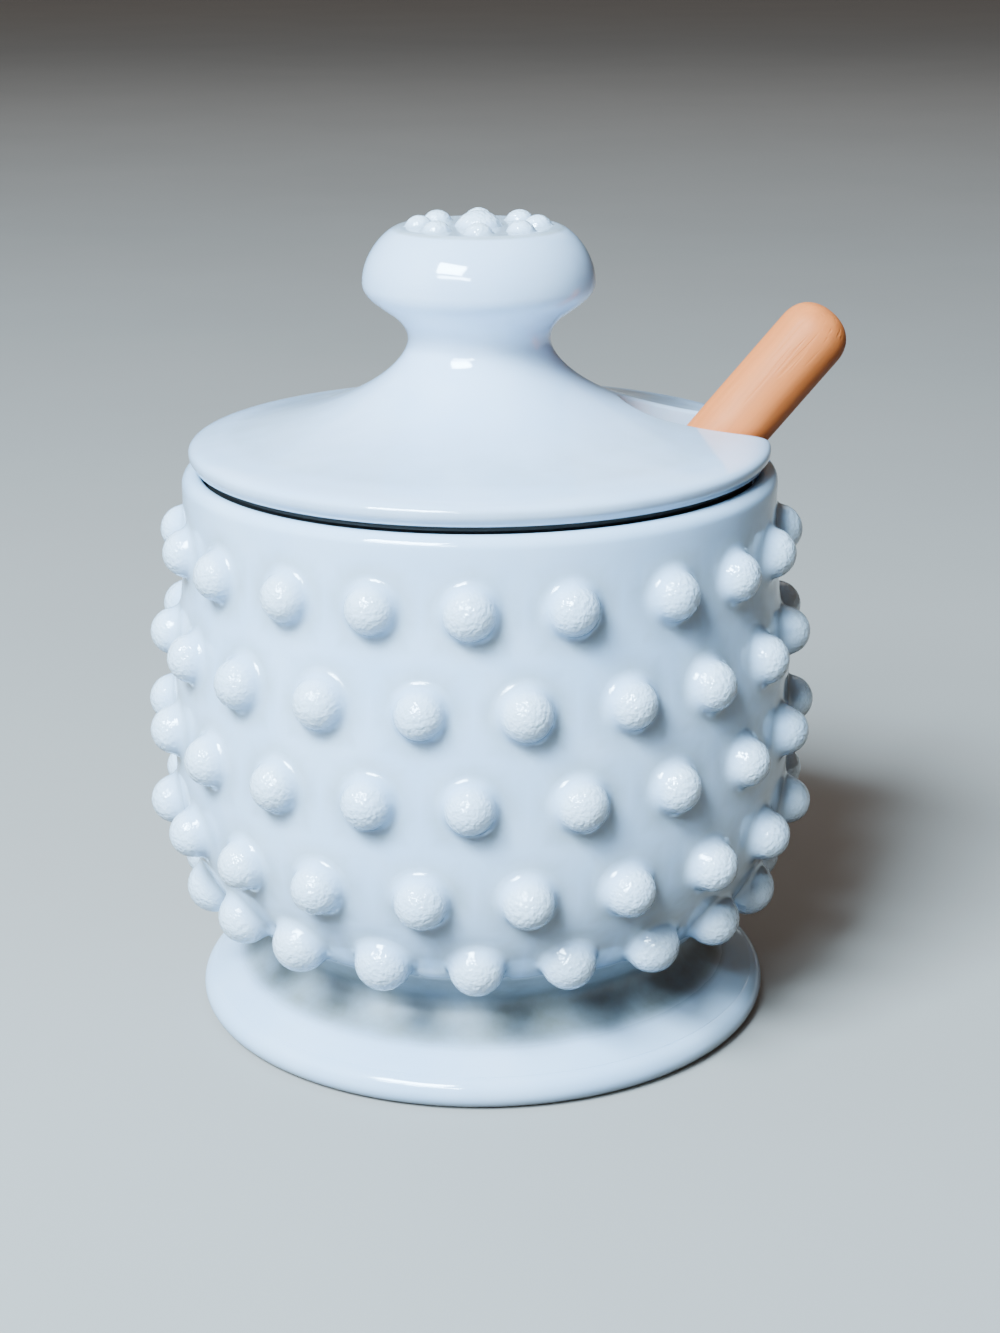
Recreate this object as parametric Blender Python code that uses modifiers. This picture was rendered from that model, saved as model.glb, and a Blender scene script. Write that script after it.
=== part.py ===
"""Hobnail milk glass honey pot: a footed jar, its notched lid and a turned wooden dipper."""

import math
import random

import bmesh
import bpy
from mathutils import Matrix, Vector
from mathutils.geometry import interpolate_bezier

MM = 0.001
GAP = 0.3 * MM
MERGE = 0.01 * MM

# Jar: heights from the surface it stands on, radii from its axis
FOOT_RADIUS = 46.4 * MM
FOOT_ROUND = 2.5 * MM
FOOT_TOP = 5.0 * MM
WAIST_RADIUS = 35.5 * MM
WAIST_HEIGHT = 12.5 * MM
BULGE_RADIUS = 49.35 * MM
BULGE_HEIGHT = 44.0 * MM
RIM_RADIUS = 46.5 * MM
RIM_HEIGHT = 89.0 * MM
SHOULDER_ROUND = 1.9 * MM
MOUTH_RADIUS = 43.4 * MM
MOUTH_ROUND = 0.9 * MM
CAVITY_RADIUS = 42.4 * MM
CAVITY_BEND_HEIGHT = 42.0 * MM
CAVITY_BEND_PULL = 20.0 * MM
FLOOR_RADIUS = 15.0 * MM
FLOOR_HEIGHT = 9.5 * MM
FLOOR_PULL = 17.0 * MM
WALL_TURN_HEIGHT = 82.0 * MM
WALL_UPPER_PULL = 15.3 * MM
BULGE_UPPER_PULL = 23.9 * MM
BULGE_LOWER_PULL = 16.2 * MM
UNDERCUT = (1.5 * MM, 2.7 * MM)
UNDERCUT_PULL = (7.8 * MM, 7.2 * MM)
FOOT_SLOPE_END = 1.9 * MM
FOOT_SLOPE_PULL = (4.5 * MM, 2.6 * MM)
WAIST_PULL = 3.0 * MM
FOOT_ROUND_START = 76.0
JAR_SIDES = 40

# Hobnails: five staggered rows, named from the top row down, each dome's middle sunk in the wall
HOBNAILS_IN_ROW = 20
HOBNAIL_TURN = math.radians(-1.4)
ROW_HEIGHTS = [78.1 * MM, 63.6 * MM, 49.9 * MM, 35.5 * MM, 23.5 * MM]
ROW_RADII = [45.6 * MM, 47.4 * MM, 48.5 * MM, 48.4 * MM, 44.0 * MM]
ROW_TILTS = [3.0, 6.0, 2.0, -6.0, -36.0]
HOBNAIL_RADIUS = 4.1 * MM
HOBNAIL_HEIGHT = 5.2 * MM
HOBNAIL_ROOT = 1.0 * MM
HOBNAIL_SIDES = 6
HOBNAIL_BANDS = 4
PLACE_SCATTER = 0.12 * MM
SIZE_SCATTER = 0.03
SEED = 11

# Hobnails that stand aside from the even spacing: (row, place in the row) and shift to the right
UNEVEN_PLACES = {
    (0, 18): 0.5 * MM,
    (0, 0): -0.4 * MM,
    (0, 1): -0.4 * MM,
    (0, 2): 1.3 * MM,
    (0, 3): 0.5 * MM,
    (1, 1): 0.5 * MM,
    (2, 0): -0.4 * MM,
    (3, 18): -0.7 * MM,
    (4, 18): -0.5 * MM,
}

# Lid: heights are in the jar's frame, so the lid is modelled where it rests
SEAT_HEIGHT = RIM_HEIGHT + GAP
SEAT_RADIUS = 44.35 * MM
LIP_HEIGHT = 89.9 * MM
LID_RADIUS = 45.3 * MM
BRIM_HEIGHT = 92.6 * MM
BRIM_ROUND = 2.1 * MM
BRIM_ROUND_START = 78.0
LIP_ROUND = 0.6 * MM
NECK_RADIUS = 11.0 * MM
NECK_HEIGHT = 108.7 * MM
KNOB_RADIUS = 17.95 * MM
KNOB_WIDEST_HEIGHT = 117.3 * MM
KNOB_TOP_RADIUS = 12.0 * MM
KNOB_TOP_HEIGHT = 125.8 * MM
KNOB_TOP_CROWN = 0.2 * MM
KNOB_TOP_PULL = 1.9 * MM
KNOB_UPPER_PULL = 4.6 * MM
KNOB_LOWER_PULL = 3.4 * MM
NECK_UPPER_PULL = 4.1 * MM
NECK_LOWER_PULL = 3.7 * MM
SLOPE_PULL = (23.8 * MM, 4.85 * MM)
FLANGE_RADIUS = 42.5 * MM
FLANGE_INNER_RADIUS = 39.8 * MM
FLANGE_BOTTOM = 85.6 * MM
LID_INSIDE_RADIUS = 38.6 * MM
LID_INSIDE_HEIGHT = 88.4 * MM
LID_INSIDE_TOP = 98.0 * MM
LID_INSIDE_PULL = (9.6 * MM, 0.6 * MM)
LID_INSIDE_TOP_PULL = 15.0 * MM
LID_SIDES = 36

# Beads on the knob's flat top
BEADS = 8
BEAD_RING_RADIUS = 9.0 * MM
BEAD_RADIUS = 2.0 * MM
BEAD_HEIGHT = 1.7 * MM
BEAD_ROOT = 1.0 * MM
BEAD_SIDES = 8
BEAD_BANDS = 5
CENTRE_BEAD_RADIUS = 3.3 * MM
CENTRE_BEAD_HEIGHT = 2.5 * MM
CENTRE_BEAD_SIDES = 10

# Notch in the lid for the dipper, open at the rim
NOTCH_TURN = math.radians(6.0)
NOTCH_HALF_WIDTH = 6.85 * MM
NOTCH_END_RADIUS = 29.0 * MM
NOTCH_REACH = 60.0 * MM
NOTCH_ARC_STEPS = 12
NOTCH_CUT_DEPTH = 40.0 * MM
NOTCH_CUT_MIDDLE = 94.0 * MM

# Dipper: it leans in the notch, along the notch's own direction
HANDLE_RADIUS = 5.65 * MM
HANDLE_END_ROUND = 5.2 * MM
HANDLE_END_PULL = (3.4 * MM, 3.2 * MM)
DIPPER_SLOPE = math.radians(49.0)
DIPPER_SIDE_SHIFT = -0.8 * MM
CROSSING_RADIUS = 39.0 * MM
CROSSING_HEIGHT = 92.6 * MM
LENGTH_ABOVE_CROSSING = 25.0 * MM
LENGTH_BELOW_CROSSING = 103.8 * MM
HEAD_DISCS = 6
HEAD_RADIUS = 12.6 * MM
HEAD_END_NARROWING = 0.34
HEAD_CORE_RADIUS = 7.2 * MM
HEAD_TIP_LENGTH = 5.0 * MM
HEAD_TIP_PULL = (1.0 * MM, 3.5 * MM)
HEAD_TIP_FLAT_PULL = 4.0 * MM
DISC_THICKNESS = 2.4 * MM
GROOVE_WIDTH = 1.9 * MM
SHOULDER_LENGTH = 7.0 * MM
DIPPER_SIDES = 16


def make_collection(name):
    """A new collection linked to the scene."""
    collection = bpy.data.collections.new(name)
    bpy.context.scene.collection.children.link(collection)
    return collection


def make_material(name, colour, roughness):
    """A Principled material with one colour."""
    material = bpy.data.materials.new(name)
    material.use_nodes = True
    shader = material.node_tree.nodes["Principled BSDF"]
    shader.inputs["Base Color"].default_value = (*colour, 1.0)
    shader.inputs["Roughness"].default_value = roughness
    shader.inputs["Metallic"].default_value = 0.0
    material.diffuse_color = (*colour, 1.0)
    return material


def curve(start, start_handle, end_handle, end, steps):
    """Points of a Bezier curve in the (radius, height) plane."""
    corners = [Vector((point[0], point[1], 0.0)) for point in (start, start_handle, end_handle, end)]
    return [(point.x, point.y) for point in interpolate_bezier(*corners, steps + 1)]


def arc(centre, radius, start, end, steps):
    """Points of an arc in the (radius, height) plane, angles in degrees from outwards."""
    points = []
    for step in range(steps + 1):
        angle = math.radians(start + (end - start) * step / steps)
        points.append((centre[0] + radius * math.cos(angle), centre[1] + radius * math.sin(angle)))
    return points


def join_outline(*stretches):
    """One outline from several stretches, without doubled points."""
    outline = []
    for stretch in stretches:
        for point in stretch:
            if not outline or math.dist(point, outline[-1]) > MERGE:
                outline.append(point)
    return outline


def turn_outline(name, outline, sides, material, collection):
    """A turned object from an outline that runs down its outer side."""
    mesh = bpy.data.meshes.new(name)
    points = [(radius, 0.0, height) for radius, height in outline]
    edges = [(index, index + 1) for index in range(len(points) - 1)]
    mesh.from_pydata(points, edges, [])
    turned = bpy.data.objects.new(name, mesh)
    collection.objects.link(turned)
    screw = turned.modifiers.new("Turn", "SCREW")
    screw.axis = "Z"
    screw.steps = sides
    screw.render_steps = sides
    screw.use_merge_vertices = True
    screw.merge_threshold = MERGE
    mesh.materials.append(material)
    return turned


def apply_modifiers(piece):
    """Replace an object's mesh with its evaluated mesh."""
    graph = bpy.context.evaluated_depsgraph_get()
    finished = bpy.data.meshes.new_from_object(piece.evaluated_get(graph))
    piece.modifiers.clear()
    piece.data = finished


def shade(piece):
    """Smooth shading with edges sharper than 40 degrees kept."""
    piece.data.shade_smooth()
    piece.data.set_sharp_from_angle(angle=math.radians(40.0))


def add_dome(name, place, outward, radius, height, root, sides, bands, collection):
    """A rounded bump that stands off the surface at place, with a shallow root under it."""
    cage = bmesh.new()
    bmesh.ops.create_uvsphere(cage, u_segments=sides, v_segments=bands, radius=1.0)
    for vert in cage.verts:
        rise = height if vert.co.z > 0.0 else root
        vert.co = Vector((vert.co.x * radius, vert.co.y * radius, vert.co.z * rise))
    facing = outward.to_track_quat("Z", "Y").to_matrix().to_4x4()
    bmesh.ops.transform(cage, matrix=Matrix.Translation(place) @ facing, verts=cage.verts)
    mesh = bpy.data.meshes.new(name)
    cage.to_mesh(mesh)
    cage.free()
    dome = bpy.data.objects.new(name, mesh)
    collection.objects.link(dome)
    return dome


def fuse_collection(piece, bumps):
    """Union of a piece with every bump in a collection, which is then emptied."""
    union = piece.modifiers.new("Fuse", "BOOLEAN")
    union.operation = "UNION"
    union.operand_type = "COLLECTION"
    union.collection = bumps
    union.solver = "EXACT"
    apply_modifiers(piece)
    for bump in list(bumps.objects):
        bpy.data.objects.remove(bump)
    bpy.data.collections.remove(bumps)


def jar_outline():
    """The jar's section, from the middle of its floor over the rim to the middle of its base."""
    inside = curve(
        (FLOOR_RADIUS, FLOOR_HEIGHT),
        (FLOOR_RADIUS + FLOOR_PULL, FLOOR_HEIGHT),
        (CAVITY_RADIUS, CAVITY_BEND_HEIGHT - CAVITY_BEND_PULL),
        (CAVITY_RADIUS, CAVITY_BEND_HEIGHT),
        7,
    )
    mouth_centre = (MOUTH_RADIUS + MOUTH_ROUND, RIM_HEIGHT - MOUTH_ROUND)
    mouth = arc(mouth_centre, MOUTH_ROUND, 180.0, 90.0, 2)
    shoulder_centre = (RIM_RADIUS - SHOULDER_ROUND, RIM_HEIGHT - SHOULDER_ROUND)
    shoulder = arc(shoulder_centre, SHOULDER_ROUND, 90.0, 0.0, 3)
    upper_wall = curve(
        (RIM_RADIUS, WALL_TURN_HEIGHT),
        (RIM_RADIUS, WALL_TURN_HEIGHT - WALL_UPPER_PULL),
        (BULGE_RADIUS, BULGE_HEIGHT + BULGE_UPPER_PULL),
        (BULGE_RADIUS, BULGE_HEIGHT),
        5,
    )
    undercut = (WAIST_RADIUS + UNDERCUT[0], WAIST_HEIGHT + UNDERCUT[1])
    lower_wall = curve(
        (BULGE_RADIUS, BULGE_HEIGHT),
        (BULGE_RADIUS, BULGE_HEIGHT - BULGE_LOWER_PULL),
        (undercut[0] + UNDERCUT_PULL[0], undercut[1] + UNDERCUT_PULL[1]),
        undercut,
        6,
    )
    slope_end = (FOOT_RADIUS - FOOT_SLOPE_END, FOOT_TOP)
    foot_slope = curve(
        (WAIST_RADIUS, WAIST_HEIGHT),
        (WAIST_RADIUS, WAIST_HEIGHT - WAIST_PULL),
        (slope_end[0] - FOOT_SLOPE_PULL[0], slope_end[1] + FOOT_SLOPE_PULL[1]),
        slope_end,
        4,
    )
    foot_edge = arc((FOOT_RADIUS - FOOT_ROUND, FOOT_ROUND), FOOT_ROUND, FOOT_ROUND_START, -90.0, 5)
    floor_middle = [(0.0, FLOOR_HEIGHT)]
    base_middle = [(0.0, 0.0)]
    body = join_outline(inside, mouth, shoulder, upper_wall, lower_wall)
    return join_outline(floor_middle, body, foot_slope, foot_edge, base_middle)


def add_hobnails():
    """Five rows of domes round the jar, every second row turned by half a step."""
    bumps = make_collection("hobnails to fuse")
    draw = random.Random(SEED)
    step = 2.0 * math.pi / HOBNAILS_IN_ROW
    for row, height in enumerate(ROW_HEIGHTS):
        turn = HOBNAIL_TURN + (step / 2.0 if row % 2 else 0.0)
        tilt = math.radians(ROW_TILTS[row])
        for index in range(HOBNAILS_IN_ROW):
            scatter = draw.uniform(-PLACE_SCATTER, PLACE_SCATTER)
            rise = draw.uniform(-PLACE_SCATTER, PLACE_SCATTER)
            size = 1.0 + draw.uniform(-SIZE_SCATTER, SIZE_SCATTER)
            side_shift = UNEVEN_PLACES.get((row, index), 0.0) + scatter
            angle = turn + index * step + side_shift / ROW_RADII[row]
            away = Vector((math.sin(angle), -math.cos(angle), 0.0))
            place = away * ROW_RADII[row] + Vector((0.0, 0.0, height + rise))
            outward = away * math.cos(tilt) + Vector((0.0, 0.0, math.sin(tilt)))
            add_dome(
                f"hobnail_{row}_{index}",
                place,
                outward,
                HOBNAIL_RADIUS * size,
                HOBNAIL_HEIGHT * size,
                HOBNAIL_ROOT,
                HOBNAIL_SIDES,
                HOBNAIL_BANDS,
                bumps,
            )
    return bumps


def make_jar(parts):
    """The footed jar: one pressed piece with its hobnails."""
    glass = make_material("jar milk glass", (0.84, 0.88, 0.91), 0.07)
    jar = turn_outline("jar", jar_outline(), JAR_SIDES, glass, parts)
    apply_modifiers(jar)
    fuse_collection(jar, add_hobnails())
    shade(jar)
    return jar


def lid_outline():
    """The lid's section, from the knob's middle over the brim and back under to the axis."""
    knob_top = [(0.0, KNOB_TOP_HEIGHT + KNOB_TOP_CROWN)]
    knob_upper = curve(
        (KNOB_TOP_RADIUS, KNOB_TOP_HEIGHT),
        (KNOB_TOP_RADIUS + KNOB_TOP_PULL, KNOB_TOP_HEIGHT),
        (KNOB_RADIUS, KNOB_WIDEST_HEIGHT + KNOB_UPPER_PULL),
        (KNOB_RADIUS, KNOB_WIDEST_HEIGHT),
        4,
    )
    knob_lower = curve(
        (KNOB_RADIUS, KNOB_WIDEST_HEIGHT),
        (KNOB_RADIUS, KNOB_WIDEST_HEIGHT - KNOB_LOWER_PULL),
        (NECK_RADIUS, NECK_HEIGHT + NECK_UPPER_PULL),
        (NECK_RADIUS, NECK_HEIGHT),
        4,
    )
    brim_centre = (LID_RADIUS - BRIM_ROUND, BRIM_HEIGHT - BRIM_ROUND)
    brim_edge = arc(brim_centre, BRIM_ROUND, BRIM_ROUND_START, 0.0, 3)
    slope = curve(
        (NECK_RADIUS, NECK_HEIGHT),
        (NECK_RADIUS, NECK_HEIGHT - NECK_LOWER_PULL),
        (brim_edge[0][0] - SLOPE_PULL[0], brim_edge[0][1] + SLOPE_PULL[1]),
        brim_edge[0],
        6,
    )
    lip = arc((LID_RADIUS - LIP_ROUND, LIP_HEIGHT + LIP_ROUND), LIP_ROUND, 0.0, -90.0, 2)
    seat = [(SEAT_RADIUS, LIP_HEIGHT), (SEAT_RADIUS, SEAT_HEIGHT), (FLANGE_RADIUS, SEAT_HEIGHT)]
    flange = [(FLANGE_RADIUS, FLANGE_BOTTOM), (FLANGE_INNER_RADIUS, FLANGE_BOTTOM)]
    inside = curve(
        (LID_INSIDE_RADIUS, LID_INSIDE_HEIGHT),
        (LID_INSIDE_RADIUS - LID_INSIDE_PULL[0], LID_INSIDE_HEIGHT + LID_INSIDE_PULL[1]),
        (LID_INSIDE_TOP_PULL, LID_INSIDE_TOP),
        (0.0, LID_INSIDE_TOP),
        4,
    )
    return join_outline(knob_top, knob_upper, knob_lower, slope, brim_edge, lip, seat, flange, inside)


def add_beads():
    """A ring of beads on the knob's top, with a larger one in the middle."""
    bumps = make_collection("beads to fuse")
    up = Vector((0.0, 0.0, 1.0))
    for index in range(BEADS):
        angle = 2.0 * math.pi * index / BEADS
        place = Vector((math.sin(angle), -math.cos(angle), 0.0)) * BEAD_RING_RADIUS
        place.z = KNOB_TOP_HEIGHT
        add_dome(
            f"bead_{index}",
            place,
            up,
            BEAD_RADIUS,
            BEAD_HEIGHT,
            BEAD_ROOT,
            BEAD_SIDES,
            BEAD_BANDS,
            bumps,
        )
    add_dome(
        "bead_middle",
        Vector((0.0, 0.0, KNOB_TOP_HEIGHT)),
        up,
        CENTRE_BEAD_RADIUS,
        CENTRE_BEAD_HEIGHT,
        BEAD_ROOT,
        CENTRE_BEAD_SIDES,
        BEAD_BANDS,
        bumps,
    )
    return bumps


def notch_cutter(cutters):
    """A tall slab with one round end, which cuts the notch from the rim inwards."""
    flat = bpy.data.curves.new("notch outline", "CURVE")
    flat.dimensions = "2D"
    flat.fill_mode = "BOTH"
    flat.extrude = NOTCH_CUT_DEPTH / 2.0
    points = arc((NOTCH_END_RADIUS, 0.0), NOTCH_HALF_WIDTH, 90.0, 270.0, NOTCH_ARC_STEPS)
    points += [(NOTCH_REACH, -NOTCH_HALF_WIDTH), (NOTCH_REACH, NOTCH_HALF_WIDTH)]
    spline = flat.splines.new("POLY")
    spline.points.add(len(points) - 1)
    for point, (along, across) in zip(spline.points, points):
        point.co = (along, across, 0.0, 1.0)
    spline.use_cyclic_u = True
    outline = bpy.data.objects.new("notch outline", flat)
    cutters.objects.link(outline)
    outline.location = (0.0, 0.0, NOTCH_CUT_MIDDLE)
    outline.rotation_euler = (0.0, 0.0, NOTCH_TURN)
    bpy.context.view_layer.update()
    graph = bpy.context.evaluated_depsgraph_get()
    mesh = bpy.data.meshes.new_from_object(outline.evaluated_get(graph))
    cage = bmesh.new()
    cage.from_mesh(mesh)
    bmesh.ops.remove_doubles(cage, verts=cage.verts, dist=MERGE)
    bmesh.ops.recalc_face_normals(cage, faces=cage.faces)
    cage.to_mesh(mesh)
    cage.free()
    cutter = bpy.data.objects.new("notch cutter", mesh)
    cutters.objects.link(cutter)
    cutter.matrix_world = outline.matrix_world
    cutter.hide_render = True
    cutter.display_type = "WIRE"
    bpy.data.objects.remove(outline)
    return cutter


def make_lid(parts, cutters):
    """The lid with its knob, beads and locating flange, notched at the rim."""
    glass = make_material("lid milk glass", (0.82, 0.85, 0.88), 0.07)
    lid = turn_outline("lid", lid_outline(), LID_SIDES, glass, parts)
    apply_modifiers(lid)
    fuse_collection(lid, add_beads())
    cut = lid.modifiers.new("Notch", "BOOLEAN")
    cut.operation = "DIFFERENCE"
    cut.object = notch_cutter(cutters)
    cut.solver = "EXACT"
    shade(lid)
    return lid


def head_outline(top):
    """The grooved head's outline, from its shoulder down to its rounded tip."""
    pitch = DISC_THICKNESS + GROOVE_WIDTH
    length = HEAD_DISCS * pitch - GROOVE_WIDTH

    def barrel(height):
        """Radius of the head's barrel shape at a height above the lowest disc's foot."""
        across = 2.0 * (height - HEAD_TIP_LENGTH) / length - 1.0
        return HEAD_RADIUS * (1.0 - HEAD_END_NARROWING * across * across)

    outline = [(HEAD_CORE_RADIUS, top)]
    for disc in range(HEAD_DISCS):
        upper = HEAD_TIP_LENGTH + length - disc * pitch
        lower = upper - DISC_THICKNESS
        if disc:
            outline.append((HEAD_CORE_RADIUS, upper))
        outline.append((barrel(upper), upper))
        outline.append((barrel(lower), lower))
        if disc < HEAD_DISCS - 1:
            outline.append((HEAD_CORE_RADIUS, lower))
    tip_radius = barrel(HEAD_TIP_LENGTH)
    tip = curve(
        (tip_radius, HEAD_TIP_LENGTH),
        (tip_radius - HEAD_TIP_PULL[0], HEAD_TIP_LENGTH - HEAD_TIP_PULL[1]),
        (HEAD_TIP_FLAT_PULL, 0.0),
        (0.0, 0.0),
        4,
    )
    return outline + tip


def dipper_outline():
    """The dipper's outline from the rounded end of its handle to the tip of its head."""
    length = LENGTH_ABOVE_CROSSING + LENGTH_BELOW_CROSSING
    head_length = HEAD_TIP_LENGTH + HEAD_DISCS * (DISC_THICKNESS + GROOVE_WIDTH) - GROOVE_WIDTH
    handle_end = curve(
        (0.0, length),
        (HANDLE_END_PULL[0], length),
        (HANDLE_RADIUS, length - HANDLE_END_ROUND + HANDLE_END_PULL[1]),
        (HANDLE_RADIUS, length - HANDLE_END_ROUND),
        5,
    )
    shoulder_top = (HANDLE_RADIUS, head_length + SHOULDER_LENGTH)
    return join_outline(handle_end, [shoulder_top], head_outline(head_length))


def make_dipper(parts):
    """The turned dipper, leaning in the notch with its head inside the jar."""
    wood = make_material("dipper beech", (0.80, 0.54, 0.37), 0.55)
    dipper = turn_outline("dipper", dipper_outline(), DIPPER_SIDES, wood, parts)
    apply_modifiers(dipper)
    along = Vector((math.cos(NOTCH_TURN), math.sin(NOTCH_TURN), 0.0))
    across = Vector((-math.sin(NOTCH_TURN), math.cos(NOTCH_TURN), 0.0))
    axis = along * math.cos(DIPPER_SLOPE) + Vector((0.0, 0.0, math.sin(DIPPER_SLOPE)))
    crossing = along * CROSSING_RADIUS + across * DIPPER_SIDE_SHIFT + Vector((0.0, 0.0, CROSSING_HEIGHT))
    dipper.location = crossing - axis * LENGTH_BELOW_CROSSING
    dipper.rotation_euler = axis.to_track_quat("Z", "Y").to_euler()
    shade(dipper)
    return dipper


def main():
    """Build the honey pot in an empty scene."""
    for leftover in list(bpy.data.objects):
        bpy.data.objects.remove(leftover)
    parts = make_collection("honey pot")
    cutters = make_collection("cutters")
    root = bpy.data.objects.new("honey pot origin", None)
    parts.objects.link(root)
    for piece in (make_jar(parts), make_lid(parts, cutters), make_dipper(parts)):
        piece.parent = root


main()
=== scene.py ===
"""Hobnail honey pot: a footed milk glass jar, its notched lid and a turned wooden dipper."""

import math
import random

import bmesh
import bpy
from bpy.props import FloatProperty, FloatVectorProperty, IntProperty, PointerProperty
from mathutils import Matrix, Vector
from mathutils.geometry import interpolate_bezier


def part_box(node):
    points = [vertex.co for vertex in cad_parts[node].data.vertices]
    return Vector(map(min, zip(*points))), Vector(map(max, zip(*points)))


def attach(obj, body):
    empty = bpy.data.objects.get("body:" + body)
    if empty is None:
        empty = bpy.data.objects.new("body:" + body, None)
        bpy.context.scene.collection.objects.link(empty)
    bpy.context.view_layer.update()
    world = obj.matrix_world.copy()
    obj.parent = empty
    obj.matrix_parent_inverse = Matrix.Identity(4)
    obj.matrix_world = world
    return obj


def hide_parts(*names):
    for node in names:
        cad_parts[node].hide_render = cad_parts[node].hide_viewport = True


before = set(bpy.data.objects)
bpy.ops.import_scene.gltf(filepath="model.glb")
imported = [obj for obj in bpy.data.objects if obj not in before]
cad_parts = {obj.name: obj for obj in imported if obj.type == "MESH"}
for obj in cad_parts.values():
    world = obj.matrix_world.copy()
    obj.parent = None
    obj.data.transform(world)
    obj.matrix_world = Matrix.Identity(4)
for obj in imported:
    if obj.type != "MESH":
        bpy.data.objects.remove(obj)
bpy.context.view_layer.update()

bl_info = {
    "name": "Hobnail Honey Pot",
    "version": (1, 0, 0),
    "blender": (4, 5, 0),
    "location": "View3D > Sidebar > Honey Pot",
    "description": "Models a hobnail milk glass honey pot with its lid and wooden dipper",
    "category": "Add Mesh",
}

MM = 0.001
JAR_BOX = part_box("jar")
MERGE = 0.002 * MM
FULL_TURN = 2.0 * math.pi
SHARP_ANGLE = math.radians(40.0)

# Jar: (radius, height) of the points where its section changes
CAVITY_BEND = (42.4 * MM, 42.0 * MM)
CAVITY_FLOOR = (15.0 * MM, 9.5 * MM)
CAVITY_FLOOR_PULL = 17.0 * MM
CAVITY_BEND_PULL = 20.0 * MM
MOUTH_RADIUS = 43.4 * MM
MOUTH_ROUND = 0.9 * MM
SHOULDER_ROUND = 1.9 * MM
WALL_TURN_HEIGHT = 82.0 * MM
WALL_TURN_PULL = 15.3 * MM
BULGE_HEIGHT = 44.0 * MM
BULGE_PULL_UP = 23.9 * MM
BULGE_PULL_DOWN = 16.2 * MM
UNDERCUT = (37.0 * MM, 15.2 * MM)
UNDERCUT_PULL_UP = (7.8 * MM, 7.2 * MM)
UNDERCUT_PULL_DOWN = (-0.9 * MM, -0.8 * MM)
WAIST_HEIGHT = 12.5 * MM
WAIST_PULL_UP = 1.0 * MM
WAIST_PULL_DOWN = 3.0 * MM
FOOT_SLOPE_END = (44.5 * MM, 5.0 * MM)
FOOT_SLOPE_PULL = (-4.5 * MM, 2.6 * MM)
FOOT_ROUND = 2.5 * MM
FOOT_ROUND_START = 76.0

# Hobnails: height and radius of each row's dome middles and their upward tilt in degrees
HOBNAIL_ROWS = [
    (78.1 * MM, 45.6 * MM, 3.0),
    (63.6 * MM, 47.4 * MM, 6.0),
    (49.9 * MM, 48.5 * MM, 2.0),
    (35.5 * MM, 48.4 * MM, -6.0),
    (23.5 * MM, 44.0 * MM, -36.0),
]
LOWEST_ROW_BREADTH = 1.12
HOBNAIL_TURN = math.radians(-1.4)
PLACE_SCATTER = 0.12 * MM
SIZE_SCATTER = 0.03
SEED = 11

# Hobnails that stand aside from the even spacing: (row, place in the row) and shift to the right
UNEVEN_PLACES = {
    (0, 18): 0.5 * MM,
    (0, 0): -0.4 * MM,
    (0, 1): -0.4 * MM,
    (0, 2): 1.3 * MM,
    (0, 3): 0.5 * MM,
    (1, 1): 0.5 * MM,
    (2, 0): -0.4 * MM,
    (3, 18): -0.7 * MM,
    (4, 18): -0.5 * MM,
}

# Beds that the hobnails rise from: faces along a side, faces cleared, and border above and below
BED_SIDE = 10
BED_OPEN = 8
BED_BORDER = 0.05
BED_REACH = 1.0 * MM
FILLET_STEPS = 4
FILLET_PULL = 0.42
DOME_STEPS = 7
DOME_START = math.radians(74.0)
INSET_WIDTH = 0.05 * MM
PROBE_UP_WALL = 0.95
PROBE_DOWN_DOME = 1.02

# Painted shade in the jar's hollows: round each hobnail's foot, and between the body and the foot
NAIL_HOLLOW_WIDTH = 1.5 * MM
NAIL_HOLLOW_DEPTH = 2.5 * MM
NAIL_HOLLOW_SHARE = 0.7
INNER_WALL_GAP = 1.0 * MM
WAIST_HOLLOW_TOP = 20.0 * MM
WAIST_HOLLOW_START = 32.0 * MM
WAIST_HOLLOW_SHARE = 1.25
WAIST_DEEP_SHADE_SHARE = 0.5
FOOT_HOLLOW_END = 41.2 * MM
BODY_HOLLOW_END = 43.8 * MM
HOLLOW_FADE = 3.2 * MM
# Crowns of the hobnails, which get a painted highlight and a pebbled bump
CROWN_FOOT = 0.8 * MM
CROWN_RISE = 2.0 * MM

# Lid: (radius, height) of the points where its section changes
LID_TURNS = 192
SEAT_RADIUS = 43.5 * MM
SEAT_HEIGHT = 89.3 * MM
LIP_HEIGHT = 90.05 * MM
LIP_ROUND = 0.3 * MM
BRIM_START = (39.8 * MM, 94.05 * MM)
SLOPE_PULL = (-21.0 * MM, 3.3 * MM)
ROLL_PULL = (3.6 * MM, -0.56 * MM)
BRIM_WIDEST_HEIGHT = 91.9 * MM
BRIM_PULL_UP = 1.35 * MM
BRIM_PULL_DOWN = 0.9 * MM
LIP_RADIUS = 44.55 * MM
TUCK_PULL = (0.3 * MM, 0.5 * MM)
NECK = (11.0 * MM, 108.7 * MM)
NECK_PULL_UP = 4.1 * MM
NECK_PULL_DOWN = 3.7 * MM
KNOB_WIDEST_HEIGHT = 117.3 * MM
KNOB_PULL_UP = 4.6 * MM
KNOB_PULL_DOWN = 3.4 * MM
KNOB_TOP = (12.0 * MM, 125.8 * MM)
KNOB_TOP_PULL = 1.9 * MM
FLANGE_RADIUS = 42.5 * MM
FLANGE_INNER_RADIUS = 39.8 * MM
FLANGE_BOTTOM = 85.6 * MM
FLANGE_ROUND = 0.5 * MM
LID_INSIDE = (38.6 * MM, 88.4 * MM)
LID_INSIDE_PULL = (-9.6 * MM, 0.6 * MM)
LID_INSIDE_TOP = 98.0 * MM
LID_INSIDE_TOP_PULL = 15.0 * MM
BEAD_RING_RADIUS = 9.0 * MM
BEAD_ZONE = 12.0 * MM
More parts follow.
